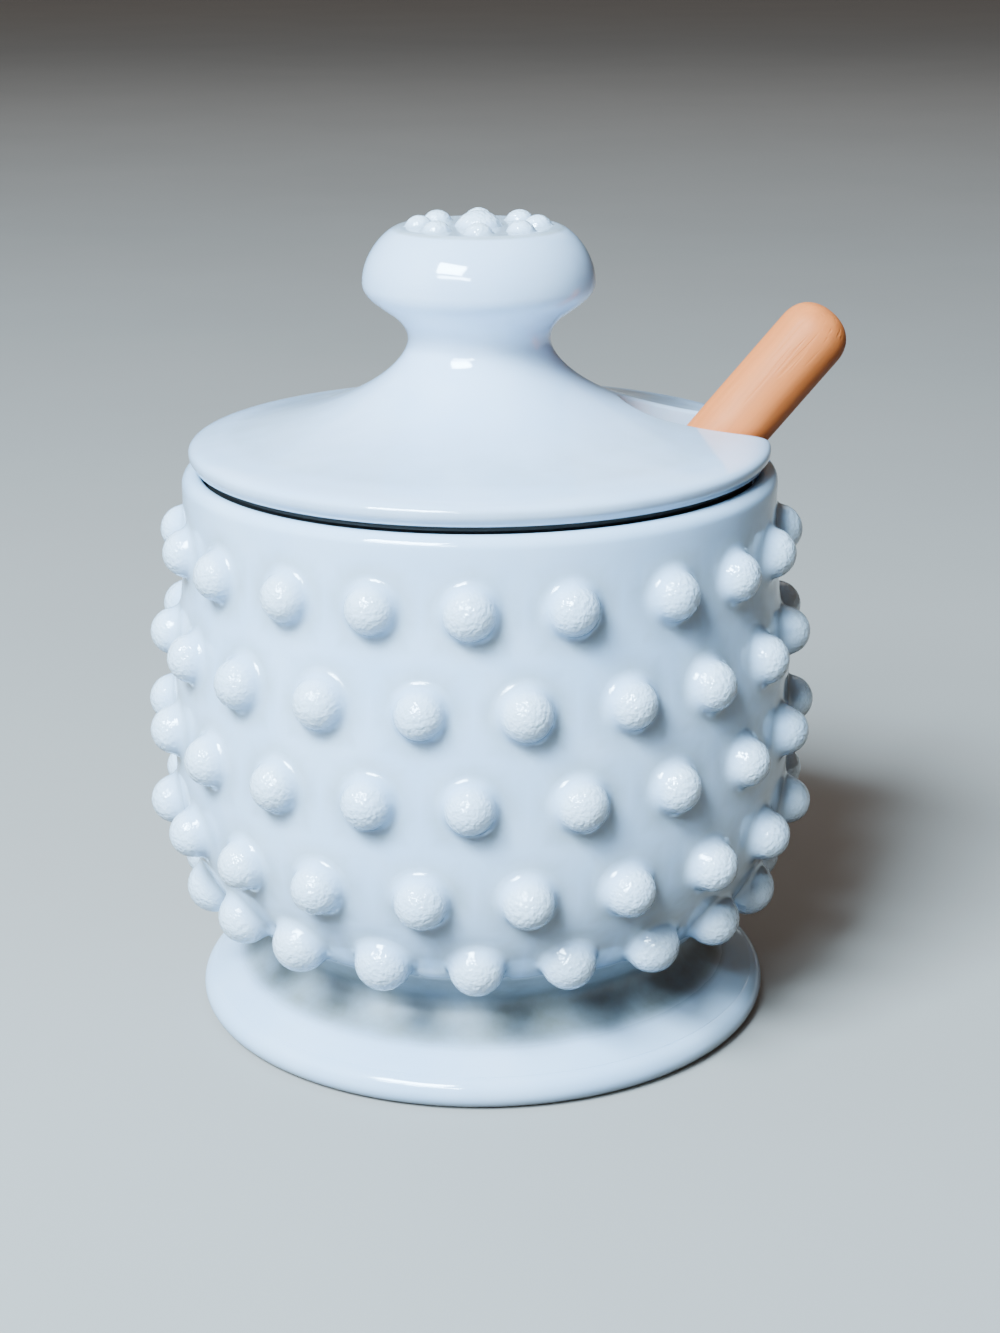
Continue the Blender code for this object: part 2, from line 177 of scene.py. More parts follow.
BEAD_ZONE_MARGIN = 0.1 * MM
BEAD_FULLNESS = 0.62

# Notch: it opens outwards, with rounded corners at the rim and a rounded upper edge
NOTCH_TURN = math.radians(6.0)
NOTCH_END_RADIUS = 29.0 * MM
NOTCH_EDGE_ROUND = 0.7 * MM
NOTCH_CORNER_ROUND = 0.8 * MM
NOTCH_SIDE_STEPS = 24
NOTCH_CORNER_STEPS = 4
NOTCH_EDGE_STEPS = 5
NOTCH_OVERSHOOT = (8.0 * MM, 2.0 * MM)
NOTCH_BELOW = 3.0 * MM
NOTCH_ABOVE = 6.0 * MM
NOTCH_CLEARANCE = 0.01 * MM

# Painted shade on the lid's glass and the roll that it spares, the painted highlight on the beads' crowns,
# and the margins inwards and up of the near-black painted shade in the seam
SEAM_MARGIN = (0.6 * MM, 0.01 * MM)
BEAD_HOLLOW_SHARE = 0.8
BEAD_HOLLOW_RISE = 0.8 * MM
BEAD_HOLLOW_MARGIN = 0.5 * MM
BEAD_CROWN_RISE = 1.0 * MM
LIP_SHADE_AND_DULL_SHARE = 0.4
SLOPE_SHADE_AND_DULL_SHARE = 0.34
SLOPE_SHADE_START = 20.0 * MM
SLOPE_SHADE_END = 30.0 * MM
ROLL_BOTTOM = BRIM_WIDEST_HEIGHT + 0.4 * MM
ROLL_FADE_UP = 0.7 * MM
ROLL_TOP = BRIM_START[1] + 1.0 * MM
ROLL_START = 38.2 * MM
ROLL_FULL = 40.2 * MM

# Dipper: it leans in the notch, along the notch's own direction
DIPPER_TURNS = 80
DIPPER_SLOPE = math.radians(49.0)
CROSSING_RADIUS = 39.0 * MM
CROSSING_HEIGHT = 92.6 * MM
DIPPER_SIDE_SHIFT = -0.8 * MM
LENGTH_BELOW_CROSSING = 103.8 * MM
LENGTH_ABOVE_CROSSING = 24.95 * MM
HANDLE_END_ROUND = 5.2 * MM
HANDLE_END_PULLS = (3.4 * MM, 3.2 * MM)
HEAD_DISCS = 6
HEAD_RADIUS = 12.6 * MM
HEAD_END_NARROWING = 0.34
HEAD_CORE_RADIUS = 7.2 * MM
HEAD_TIP_LENGTH = 5.0 * MM
DISC_THICKNESS = 2.4 * MM
GROOVE_WIDTH = 1.9 * MM
DISC_EDGE_ROUND = 0.5 * MM
SHOULDER_LENGTH = 7.0 * MM
SHOULDER_PULLS = (3.5 * MM, 2.8 * MM)
TIP_PULL = (-1.0 * MM, -3.5 * MM)
TIP_END_PULL = 4.0 * MM

# Shares of the second colours in the glass and in the wood; in the glass they include a painted highlight on
# the crowns and painted shade in the hollows
CLOUD_SHARE = 0.35
CROWN_PAINTED_LIGHT_SHARE = 0.6
PAINTED_SHADE_SHARE = 0.75
BAND_SHARE = 0.40
GRAIN_SHARE = 0.45
GRAIN_STRETCH = 0.06

# Camera, fitted to the photograph
CAMERA_PLACE = Vector((0.0, -364.97, 174.14)) * MM
CAMERA_FORWARD = Vector((0.00783, 0.95081, -0.30966))
CAMERA_UP = Vector((0.00636, 0.30962, 0.95084))
CAMERA_SENSOR = 36.0
CAMERA_LENS = 64.31
CAMERA_CLIP = (0.01, 50.0)

# Stage: the lights' names, settings, places, sizes and colours, all aimed at the pot's middle
POT_MIDDLE = (0.0, 0.0, 0.06)
FLOOR_SIDE = 24.0
COOL = (0.54, 0.79, 1.0)
WARM = (1.0, 0.98, 0.95)
LIGHTS = [
    ("key_light", "key_power", (-0.457, -0.678, 0.938), (0.50, 0.32), COOL),
    ("glint_light", "glint_power", (-0.470, -0.923, 0.759), (0.66, 0.10), COOL),
    ("window_light", "window_power", (-0.95, -0.45, 0.65), (0.9, 0.7), COOL),
    ("back_light", "back_power", (-0.1, 1.58, 1.28), (2.4, 0.87), WARM),
]
AIR_LEFT = (1.0, 0.93, 0.82, 1.0)
AIR_RIGHT = (0.20, 0.15, 0.10, 1.0)
AIR_BELOW = (0.10, 0.095, 0.085, 1.0)
AIR_ABOVE = (0.32, 0.34, 0.37, 1.0)


def length(name, default, description):
    """A length that a user can change."""
    return FloatProperty(name=name, description=description, default=default, unit="LENGTH")


def count(name, default, least, description):
    """A number of pieces that a user can change."""
    return IntProperty(name=name, description=description, default=default, min=least)


def tint(name, default, description):
    """A colour that a user can change."""
    return FloatVectorProperty(
        name=name, description=description, default=default, subtype="COLOR", size=3
    )


def power(name, default, description):
    """A light's power that a user can change."""
    return FloatProperty(
        name=name, description=description, default=default, min=0.0, subtype="POWER", unit="POWER"
    )


class HoneyPotJarSettings(bpy.types.PropertyGroup):
    """Sizes of the jar and its hobnails."""

    rim_radius: length("Rim Radius", 46.5 * MM, "Outer radius of the wall just under the rim")
    bulge_radius: length("Bulge Radius", 49.35 * MM, "Largest radius of the wall without its hobnails")
    waist_radius: length("Waist Radius", 35.0 * MM, "Radius of the waist between the body and the foot")
    foot_radius: length("Foot Radius", 46.4 * MM, "Outer radius of the foot")
    hobnails_in_row: count("Hobnails in a Row", 20, 8, "How many hobnails stand in each row round the jar")
    hobnail_radius: length("Hobnail Radius", 3.85 * MM, "Radius of a hobnail's dome")
    hobnail_height: length(
        "Hobnail Height", 5.1 * MM, "Height of a hobnail's dome over its middle, which is sunk in the wall"
    )
    hobnail_foot: length(
        "Hobnail Foot", 5.4 * MM, "Radius at which the soft foot of a hobnail meets the wall"
    )


class HoneyPotLidSettings(bpy.types.PropertyGroup):
    """Sizes of the lid, its knob and its notch."""

    radius: length("Lid Radius", 45.3 * MM, "Outer radius of the brim")
    knob_radius: length("Knob Radius", 17.9 * MM, "Largest radius of the knob")
    notch_width: length("Notch Width", 13.7 * MM, "Width of the notch that the dipper leans in")
    beads: count("Beads", 8, 3, "How many beads stand in a ring on top of the knob")
    bead_radius: length("Bead Radius", 2.2 * MM, "Radius of a bead in the ring")
    bead_height: length("Bead Height", 1.6 * MM, "How far a bead stands up")
    centre_bead_radius: length(
        "Centre Bead Radius", 3.5 * MM, "Radius of the bead in the middle of the knob"
    )
    centre_bead_height: length("Centre Bead Height", 2.3 * MM, "How far the middle bead stands up")


class HoneyPotDipperSettings(bpy.types.PropertyGroup):
    """Sizes and colours of the dipper."""

    handle_radius: length("Handle Radius", 5.6 * MM, "Radius of the turned handle")
    light_wood: tint("Light Wood", (0.84, 0.215, 0.05), "Colour of the pale wood between the grain lines")
    dark_wood: tint("Dark Wood", (0.42, 0.095, 0.022), "Colour of the grain lines")


class HoneyPotGlassSettings(bpy.types.PropertyGroup):
    """Colours and finish of the milk glass, and the colours of its painted highlight and painted shade."""

    jar_colour: tint("Jar Colour", (0.535, 0.72, 0.94), "Body colour of the jar's milk glass")
    lid_colour: tint("Lid Colour", (0.57, 0.72, 0.92), "Body colour of the lid's milk glass")
    # Besides the clouds, this colour paints a highlight on the crowns of the hobnails and beads
    cloud_and_crown_light_colour: tint(
        "Cloud Colour", (0.82, 0.90, 1.0), "Paler colour of the faint clouds and the raised crowns"
    )
    # Painted shade colour for the hollows round the hobnails, the waist, and the lid's beads, slope and the
    # part under its roll
    painted_shade_colour: tint(
        "Hollow Colour", (0.34, 0.335, 0.275), "Duller colour of the glass in hollows and on the lid's slope"
    )
    # Near-black painted shade in the gap under the lid's brim and, half as strong, in the jar's waist
    deep_shade_colour: tint(
        "Seam Colour", (0.012, 0.010, 0.008), "Colour of the residue under the lid's brim and under the body"
    )
    roughness: FloatProperty(
        name="Roughness",
        description="Roughness of the fire-polished surface",
        default=0.08,
        min=0.0,
        max=1.0,
        subtype="FACTOR",
    )


class HoneyPotStageSettings(bpy.types.PropertyGroup):
    """Colours and strengths of the floor and the light."""

    floor_colour: tint("Floor Colour", (0.40, 0.345, 0.305), "Colour of the plain pale floor")
    key_power: power("Key Light", 68.0, "Power of the main light, high in front on the left")
    window_power: power("Window Light", 2.5, "Power of the large soft light on the left")
    back_power: power("Back Light", 5.0, "Power of the soft light high behind")
    glint_power: power("Glint Light", 18.0, "Power of the narrow light that draws the highlights")
    air_strength: FloatProperty(
        name="Surrounding Light",
        description="Strength of the even light from all round",
        default=0.42,
        min=0.0,
    )


def share_between(value, none_at, all_at):
    """Where a value lies between two limits, from 0 at the first to 1 at the second."""
    return min(max((value - none_at) / (all_at - none_at), 0.0), 1.0)


def from_axis(place):
    """A point's distance from the upright axis."""
    return math.hypot(place.x, place.y)


def shifted(point, shift):
    """A point of the (radius, height) plane, moved outwards and up."""
    return (point[0] + shift[0], point[1] + shift[1])


def curve(start, start_pull, end_pull, end, steps):
    """Points of a Bezier curve in the (radius, height) plane, its handles measured from its ends."""
    corners = (start, shifted(start, start_pull), shifted(end, end_pull), end)
    points = interpolate_bezier(*(Vector((*corner, 0.0)) for corner in corners), steps + 1)
    return [(point.x, point.y) for point in points]


def arc(centre, radius, start, end, steps):
    """Points of an arc in the (radius, height) plane, angles in degrees from outwards."""
    points = []
    for step in range(steps + 1):
        angle = math.radians(start + (end - start) * step / steps)
        points.append((centre[0] + radius * math.cos(angle), centre[1] + radius * math.sin(angle)))
    return points


def line(start, end, steps):
    """Evenly spaced points on a straight line in the (radius, height) plane."""
    points = []
    for step in range(steps + 1):
        share = step / steps
        points.append((start[0] + (end[0] - start[0]) * share, start[1] + (end[1] - start[1]) * share))
    return points


def join_outline(*stretches):
    """One outline from several stretches, without doubled points."""
    outline = []
    for stretch in stretches:
        for point in stretch:
            if not outline or math.dist(point, outline[-1]) > MERGE:
                outline.append(point)
    return outline


def select_only(piece):
    """Select one piece and make it active."""
    bpy.ops.object.select_all(action="DESELECT")
    piece.select_set(True)
    bpy.context.view_layer.objects.active = piece


def edit_mesh(piece):
    """Open a piece's mesh for editing with nothing in it selected."""
    select_only(piece)
    bpy.ops.object.mode_set(mode="EDIT")
    bpy.ops.mesh.select_all(action="DESELECT")


def turn_piece(name, outline, turns, facing_angle=0.0):
    """Extrude an outline point by point from one vertex and spin it round the upright axis."""
    bpy.ops.object.select_all(action="DESELECT")
    bpy.ops.mesh.primitive_plane_add(size=MM)
    piece = bpy.context.active_object
    piece.name = name
    piece.data.name = name
    bpy.ops.object.mode_set(mode="EDIT")
    bpy.ops.mesh.merge(type="CENTER")
    away = Vector((math.sin(facing_angle), -math.cos(facing_angle), 0.0))
    points = [away * radius + Vector((0.0, 0.0, height)) for radius, height in outline]
    bpy.ops.transform.translate(value=points[0])
    for here, there in zip(points, points[1:]):
        bpy.ops.mesh.extrude_region_move(TRANSFORM_OT_translate={"value": there - here})
    bpy.ops.mesh.select_all(action="SELECT")
    bpy.ops.mesh.spin(steps=turns, angle=FULL_TURN, center=(0.0, 0.0, 0.0), axis=(0.0, 0.0, 1.0))
    bpy.ops.mesh.select_all(action="SELECT")
    bpy.ops.mesh.remove_doubles(threshold=MERGE)
    bpy.ops.mesh.normals_make_consistent(inside=False)
    bpy.ops.object.mode_set(mode="OBJECT")
    return piece


def finish_piece(piece, node):
    """Shade a piece, and let it stand for its node in the frame."""
    select_only(piece)
    bpy.ops.object.shade_smooth_by_angle(angle=SHARP_ANGLE)
    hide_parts(node)
    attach(piece, "root")


def paint_attribute(piece, name, value_of):
    """Store a value per point, worked out by a function of the point's place."""
    attribute = piece.data.attributes.new(name, "FLOAT", "POINT")
    attribute.data.foreach_set("value", [value_of(vertex.co) for vertex in piece.data.vertices])


def wall_outline(settings):
    """The jar's outer wall, from under the rim to the undercut, as many short steps."""
    rim = (settings.rim_radius, WALL_TURN_HEIGHT)
    bulge = (settings.bulge_radius, BULGE_HEIGHT)
    collar = line((settings.rim_radius, JAR_BOX[1].z - SHOULDER_ROUND), rim, 4)
    upper = curve(rim, (0.0, -WALL_TURN_PULL), (0.0, BULGE_PULL_UP), bulge, 48)
    lower = curve(bulge, (0.0, -BULGE_PULL_DOWN), UNDERCUT_PULL_UP, UNDERCUT, 48)
    return join_outline(collar, upper, lower)


class Wall:
    """The jar's outer wall, measured along its section from the rim down."""

    def __init__(self, settings):
        self.outline = wall_outline(settings)
        self.travelled = [0.0]
        for here, there in zip(self.outline, self.outline[1:]):
            self.travelled.append(self.travelled[-1] + math.dist(here, there))

    def at(self, distance):
        """(radius, height) at a distance down the wall."""
        distance = min(max(distance, 0.0), self.travelled[-1])
        index = next(index for index in range(1, len(self.outline)) if distance <= self.travelled[index])
        share = (distance - self.travelled[index - 1]) / (self.travelled[index] - self.travelled[index - 1])
        return tuple(Vector(self.outline[index - 1]).lerp(Vector(self.outline[index]), share))

    def down_to(self, height):
        """Distance down the wall to a height."""
        for index in range(1, len(self.outline)):
            upper = self.outline[index - 1][1]
            lower = self.outline[index][1]
            if height >= lower:
                share = (upper - height) / (upper - lower)
                return self.travelled[index - 1] + share * (self.travelled[index] - self.travelled[index - 1])
        return self.travelled[-1]

    def place(self, angle, distance):
        """Point on the wall at an angle from the front and a distance down."""
        radius, height = self.at(distance)
        return Vector((radius * math.sin(angle), -radius * math.cos(angle), height))

    def bed_edges(self):
        """Distances down the wall where one row of hobnails ends and the next begins."""
        rows = [self.down_to(height) for height, radius, tilt in HOBNAIL_ROWS]
        inner = [(above + below) / 2.0 for above, below in zip(rows, rows[1:])]
        return [rows[0] - (inner[0] - rows[0])] + inner + [rows[-1] + (rows[-1] - inner[-1])]


class Hobnail:
    """One hobnail: where it stands, and the points of the rings that shape it."""

    spokes = 4 * BED_OPEN
    rings = 1 + FILLET_STEPS + DOME_STEPS

    def __init__(self, settings, wall, row, index, draw):
        height, radius, tilt = HOBNAIL_ROWS[row]
        step = FULL_TURN / settings.hobnails_in_row
        side_shift = UNEVEN_PLACES.get((row, index), 0.0) + draw.uniform(-PLACE_SCATTER, PLACE_SCATTER)
        middle = height + draw.uniform(-PLACE_SCATTER, PLACE_SCATTER)
        self.size = 1.0 + draw.uniform(-SIZE_SCATTER, SIZE_SCATTER)
        self.row = row
        self.bed_angle = HOBNAIL_TURN + index * step + (step / 2.0 if row % 2 else 0.0)
        self.angle = self.bed_angle + side_shift / radius
        self.settings = settings
        self.wall = wall
        away = Vector((math.sin(self.angle), -math.cos(self.angle), 0.0))
        up = Vector((0.0, 0.0, 1.0))
        self.place = away * radius + up * middle
        self.outward = away * math.cos(math.radians(tilt)) + up * math.sin(math.radians(tilt))
        self.upward = (up - self.outward * up.dot(self.outward)).normalized()
        self.rightward = self.upward.cross(self.outward)
        sunk = (wall.at(wall.down_to(middle))[0] - radius) * math.cos(math.radians(tilt))
        self.down_wall = wall.down_to(middle + sunk * math.sin(math.radians(tilt)))

    def wall_point(self, turn, reach):
        """Point on the wall at a distance from the hobnail's middle, in one spoke's direction."""
        radius = self.wall.at(self.down_wall)[0]
        return self.wall.place(
            self.angle + reach * math.cos(turn) / radius,
            self.down_wall - reach * math.sin(turn),
        )

    def dome_point(self, turn, slant):
        """Point on the dome, with slant measured from its top."""
        aside = self.rightward * math.cos(turn) + self.upward * math.sin(turn)
        radius = self.settings.hobnail_radius * self.size
        if self.row == len(HOBNAIL_ROWS) - 1:
            radius *= LOWEST_ROW_BREADTH
        across = radius * math.sin(slant)
        height = self.settings.hobnail_height * self.size - radius * (1.0 - math.cos(slant))
        return self.place + aside * across + self.outward * height

    def point(self, ring, spoke):
        """Place of one point: rings run from the foot on the wall to the top of the dome."""
        turn = FULL_TURN * spoke / self.spokes
        if ring > FILLET_STEPS:
            rising = (ring - FILLET_STEPS) / DOME_STEPS
            return self.dome_point(turn, DOME_START * (1.0 - rising))
        reach = self.settings.hobnail_foot * self.size
        foot = self.wall_point(turn, reach)
        inward = (self.wall_point(turn, reach * PROBE_UP_WALL) - foot).normalized()
        start = self.dome_point(turn, DOME_START)
        downward = (self.dome_point(turn, DOME_START * PROBE_DOWN_DOME) - start).normalized()
        pull = (foot - start).length * FILLET_PULL
        handles = (foot + inward * pull, start + downward * pull)
        return interpolate_bezier(foot, *handles, start, FILLET_STEPS + 1)[ring]


def all_hobnails(settings, wall):
    """Every hobnail on the jar, row by row from the top."""
    draw = random.Random(SEED)
    return [
        Hobnail(settings, wall, row, index, draw)
        for row in range(len(HOBNAIL_ROWS))
        for index in range(settings.hobnails_in_row)
    ]


def jar_outline(settings, wall):
    """The jar's section, from the middle of its floor over the rim to the middle of its base."""
    rim_height = JAR_BOX[1].z
    floor = line((0.0, CAVITY_FLOOR[1]), CAVITY_FLOOR, 3)
    bowl = curve(CAVITY_FLOOR, (CAVITY_FLOOR_PULL, 0.0), (0.0, -CAVITY_BEND_PULL), CAVITY_BEND, 14)
    mouth = arc((MOUTH_RADIUS + MOUTH_ROUND, rim_height - MOUTH_ROUND), MOUTH_ROUND, 180.0, 90.0, 5)
    inner_wall = line(CAVITY_BEND, mouth[0], 6)
    shoulder_centre = (settings.rim_radius - SHOULDER_ROUND, rim_height - SHOULDER_ROUND)
    shoulder = arc(shoulder_centre, SHOULDER_ROUND, 90.0, 0.0, 8)
    edges = wall.bed_edges()
    beds = [wall.at(0.0)]
    opened = [BED_BORDER + (1.0 - 2.0 * BED_BORDER) * step / BED_OPEN for step in range(BED_OPEN + 1)]
    for upper, lower in zip(edges, edges[1:]):
        beds += [wall.at(upper + (lower - upper) * share) for share in [0.0, *opened, 1.0]]
    below = wall.travelled[-1] - edges[-1]
    beds += [wall.at(edges[-1] + below * step / 4) for step in range(5)]
    waist = (settings.waist_radius, WAIST_HEIGHT)
    undercut = curve(UNDERCUT, UNDERCUT_PULL_DOWN, (0.0, WAIST_PULL_UP), waist, 4)
    foot_slope = curve(waist, (0.0, -WAIST_PULL_DOWN), FOOT_SLOPE_PULL, FOOT_SLOPE_END, 14)
    foot_centre = (settings.foot_radius - FOOT_ROUND, FOOT_ROUND)
    foot_edge = arc(foot_centre, FOOT_ROUND, FOOT_ROUND_START, -90.0, 16)
    base = line(foot_edge[-1], (0.0, 0.0), 5)
    return join_outline(
        floor, bowl, inner_wall, mouth, shoulder, beds, undercut, foot_slope, foot_edge, base
    )


def bed_of(face, hobnails_by_row, wall, edges, settings):
    """The hobnail whose bed a face of the wall belongs to, or None."""
    middle = face.calc_center_median()
    down = wall.down_to(middle.z)
    if middle.z > wall.outline[0][1] or abs(from_axis(middle) - wall.at(down)[0]) > BED_REACH:
        return None
    for row in range(len(HOBNAIL_ROWS)):
        border = (edges[row + 1] - edges[row]) * BED_BORDER
        if edges[row] + border < down < edges[row + 1] - border:
            step = FULL_TURN / settings.hobnails_in_row
            angle = math.atan2(middle.x, -middle.y) - hobnails_by_row[row][0].bed_angle
            number = round(angle / step)
            aside = abs(angle - number * step) / (step / BED_SIDE)
            if aside < BED_OPEN / 2:
                return hobnails_by_row[row][number % settings.hobnails_in_row]
    return None


def raise_hobnails(jar, settings, wall, hobnails):
    """Clear a bed for each hobnail in the wall, and inset it ring by ring into a dome."""
    edges = wall.bed_edges()
    by_row = [[nail for nail in hobnails if nail.row == row] for row in range(len(HOBNAIL_ROWS))]
    edit_mesh(jar)
    mesh = bmesh.from_edit_mesh(jar.data)
    for face in mesh.faces:
        face.select = bed_of(face, by_row, wall, edges, settings) is not None
    bmesh.update_edit_mesh(jar.data)
    bpy.ops.mesh.dissolve_faces()
    mesh = bmesh.from_edit_mesh(jar.data)
    spoke_of = mesh.verts.layers.int.new("spoke")
    owner_of = mesh.verts.layers.int.new("owner")
    for face in [face for face in mesh.faces if face.select]:
        middle = face.calc_center_median()
        number = min(range(len(hobnails)), key=lambda index: (hobnails[index].place - middle).length)
        nail = hobnails[number]
        corner = nail.rightward + nail.upward
        turned = Matrix.Rotation(nail.angle - nail.bed_angle, 3, "Z")
        around = list(face.verts)
        if len(around) != nail.spokes:
            raise RuntimeError(f"a hobnail's bed has {len(around)} sides")
        start = max(range(len(around)), key=lambda index: (around[index].co - nail.place).dot(corner))
        for index in range(nail.spokes):
            vert = around[(start + index) % nail.spokes]
            vert[spoke_of] = (nail.spokes // 8 + index) % nail.spokes
            vert[owner_of] = number
            vert.co = turned @ vert.co
    bmesh.update_edit_mesh(jar.data)
    for ring in range(Hobnail.rings):
        bpy.ops.mesh.inset(thickness=INSET_WIDTH, use_individual=True, use_even_offset=False)
        place_ring(jar, hobnails, ring)
    bpy.ops.mesh.merge(type="COLLAPSE")
    bpy.ops.mesh.select_all(action="DESELECT")
    bpy.ops.object.mode_set(mode="OBJECT")


def place_ring(jar, hobnails, ring):
    """Move the newest ring of every bed to its place on the hobnail."""
    mesh = bmesh.from_edit_mesh(jar.data)
    spoke_of = mesh.verts.layers.int["spoke"]
    owner_of = mesh.verts.layers.int["owner"]
    for face in [face for face in mesh.faces if face.select]:
        inner = set(face.verts)
        for vert in face.verts:
            joined = [edge.other_vert(vert) for edge in vert.link_edges]
            outer = next(other for other in joined if other not in inner)
            vert[spoke_of] = outer[spoke_of]
            vert[owner_of] = outer[owner_of]
            vert.co = hobnails[vert[owner_of]].point(ring, vert[spoke_of])
    bmesh.update_edit_mesh(jar.data)


def waist_share(place):
    """How deep a point of the jar lies in the hollow between the body and the foot, from 0 to 1, which sets
    its painted shade.
    """
    radius = from_axis(place)
    if not FOOT_SLOPE_END[1] < place.z < WAIST_HOLLOW_TOP or radius < WAIST_HOLLOW_START:
        return 0.0
    end = FOOT_HOLLOW_END if place.z < WAIST_HEIGHT else BODY_HOLLOW_END
    share = share_between(radius, end, end - HOLLOW_FADE)
    return share * share * (3.0 - 2.0 * share)


def hollow_near(place, hobnails, wall, reach):
    """How deep a point of the jar lies in the waist's hollow or in that round a hobnail's foot, which sets
    how much painted shade it gets.
    """
    if waist_share(place) > 0.0:
        return WAIST_HOLLOW_SHARE * waist_share(place)
    stand_off = from_axis(place) - wall.at(wall.down_to(place.z))[0]
    if place.z > wall.outline[0][1] or stand_off < -INNER_WALL_GAP:
        return 0.0
    near = min((nail.place - place).length for nail in hobnails)
    ring = math.exp(-(((near - reach) / NAIL_HOLLOW_WIDTH) ** 2))
    return NAIL_HOLLOW_SHARE * ring * max(0.0, 1.0 - stand_off / NAIL_HOLLOW_DEPTH)


def raised_at(place, wall):
    """How far up a hobnail's dome a point of the jar lies, from 0 on the wall to 1, which sets a painted
    highlight on the crowns and their pebbled bump.
    """
    if place.z > wall.outline[0][1] or place.z < wall.outline[-1][1]:
        return 0.0
    stand_off = from_axis(place) - wall.at(wall.down_to(place.z))[0]
    return share_between(stand_off, CROWN_FOOT, CROWN_FOOT + CROWN_RISE)


class NodeBench:
    """A node tree with short ways to add and join nodes."""

    def __init__(self, tree):
        self.tree = tree

    def feed(self, node, inputs):
        """Feed a node's inputs, by name or number, from sockets or with plain values."""
        for name, source in inputs.items():
            if isinstance(source, bpy.types.NodeSocket):
                self.tree.links.new(source, node.inputs[name])
            else:
                node.inputs[name].default_value = source

    def add(self, kind, options=None, **inputs):
        """Add a node, set its options and feed its inputs."""
        node = self.tree.nodes.new(kind)
        for name, value in (options or {}).items():
            setattr(node, name, value)
        self.feed(node, {name.replace("_", " "): source for name, source in inputs.items()})
        return node

    def attribute(self, name):
        """The value that a piece's points carry under a name."""
        return self.add("ShaderNodeAttribute", {"attribute_name": name}).outputs["Fac"]

    def group(self, name, build, **inputs):
        """Place a shared node group, which is built the first time that it is wanted."""
        tree = bpy.data.node_groups.get(name) or build()
        return self.add("ShaderNodeGroup", {"node_tree": tree}, **inputs).outputs

    def bump(self, height, distance):
        """The normal of a surface that a height raises and sinks."""
        return self.add("ShaderNodeBump", Strength=0.5, Distance=distance, Height=height).outputs["Normal"]

    def math(self, operation, first, second=0.0):
        """A Math node's result."""
        node = self.add("ShaderNodeMath", {"operation": operation})
        self.feed(node, {0: first, 1: second})
        return node.outputs[0]

    def ramp(self, source, low, high):
        """Stretch a value so that low becomes 0 and high becomes 1."""
        node = self.add("ShaderNodeMapRange", {"clamp": True}, Value=source, From_Min=low, From_Max=high)
        return node.outputs["Result"]

    def noise(self, place, scale, detail=2.0, roughness=0.5, distortion=0.0):
        """A noise texture's value."""
        look = {"Scale": scale, "Detail": detail, "Roughness": roughness, "Distortion": distortion}
        return self.add("ShaderNodeTexNoise", Vector=place, **look).outputs["Fac"]

    def mix(self, share, first, second):
        """A blend of two colours."""
        node = self.add("ShaderNodeMix", {"data_type": "RGBA"})
        self.feed(node, {0: share, 6: first, 7: second})
        return node.outputs[2]


def new_group(name, inputs, outputs):
    """A shader node group that takes a place and values and puts out values, with its bench."""
    group = bpy.data.node_groups.new(name, "ShaderNodeTree")
    group.interface.new_socket(name="Place", in_out="INPUT", socket_type="NodeSocketVector")
    for label, default in inputs.items():
        socket = group.interface.new_socket(name=label, in_out="INPUT", socket_type="NodeSocketFloat")
        socket.default_value = default
    for label in outputs:
        group.interface.new_socket(name=label, in_out="OUTPUT", socket_type="NodeSocketFloat")
    bench = NodeBench(group)
    return group, bench, bench.add("NodeGroupInput").outputs, bench.add("NodeGroupOutput")


def pressed_glass_group():
    """Faint clouds in the glass, and the ripples and chill marks that the mould leaves on it."""
    group, bench, given, result = new_group(
        "pressed glass surface",
        {"Cloud Scale": 45.0, "Ripple Scale": 110.0, "Speckle Scale": 1500.0, "Raised": 0.0},
        ["Clouds", "Height"],
    )
    place = given["Place"]
    clouds = bench.noise(place, given["Cloud Scale"], 3.0, 0.55, 0.4)
    ripple = bench.noise(place, given["Ripple Scale"], 1.0, 0.4)
    speckle = bench.noise(place, given["Speckle Scale"], 1.0, 0.5)
    pebbled = bench.math("MULTIPLY", bench.math("MULTIPLY", speckle, given["Raised"]), 2.4)
    height = bench.math("ADD", ripple, pebbled)
    bench.feed(result, {"Clouds": bench.ramp(clouds, 0.35, 0.7), "Height": height})
    return group


def shade_and_wear_group():
    """Painted shade in hollows, broken up by noise, and fine handling marks that dull the gloss in patches.
    """
    group, bench, given, result = new_group(
        "settled dust and handling", {"Hollow": 0.0, "Mark Scale": 160.0}, ["Dust", "Marks"]
    )
    place = given["Place"]
    broken = bench.ramp(bench.noise(place, given["Mark Scale"], 4.0, 0.6), 0.3, 0.75)
    uneven = bench.math("ADD", bench.math("MULTIPLY", broken, 0.6), 0.4)
    painted_shade = bench.math("MULTIPLY", given["Hollow"], uneven)
    marks = bench.noise(place, bench.math("MULTIPLY", given["Mark Scale"], 0.4), 5.0, 0.65, 1.2)
    bench.feed(result, {"Dust": painted_shade, "Marks": bench.ramp(marks, 0.45, 0.75)})
    return group


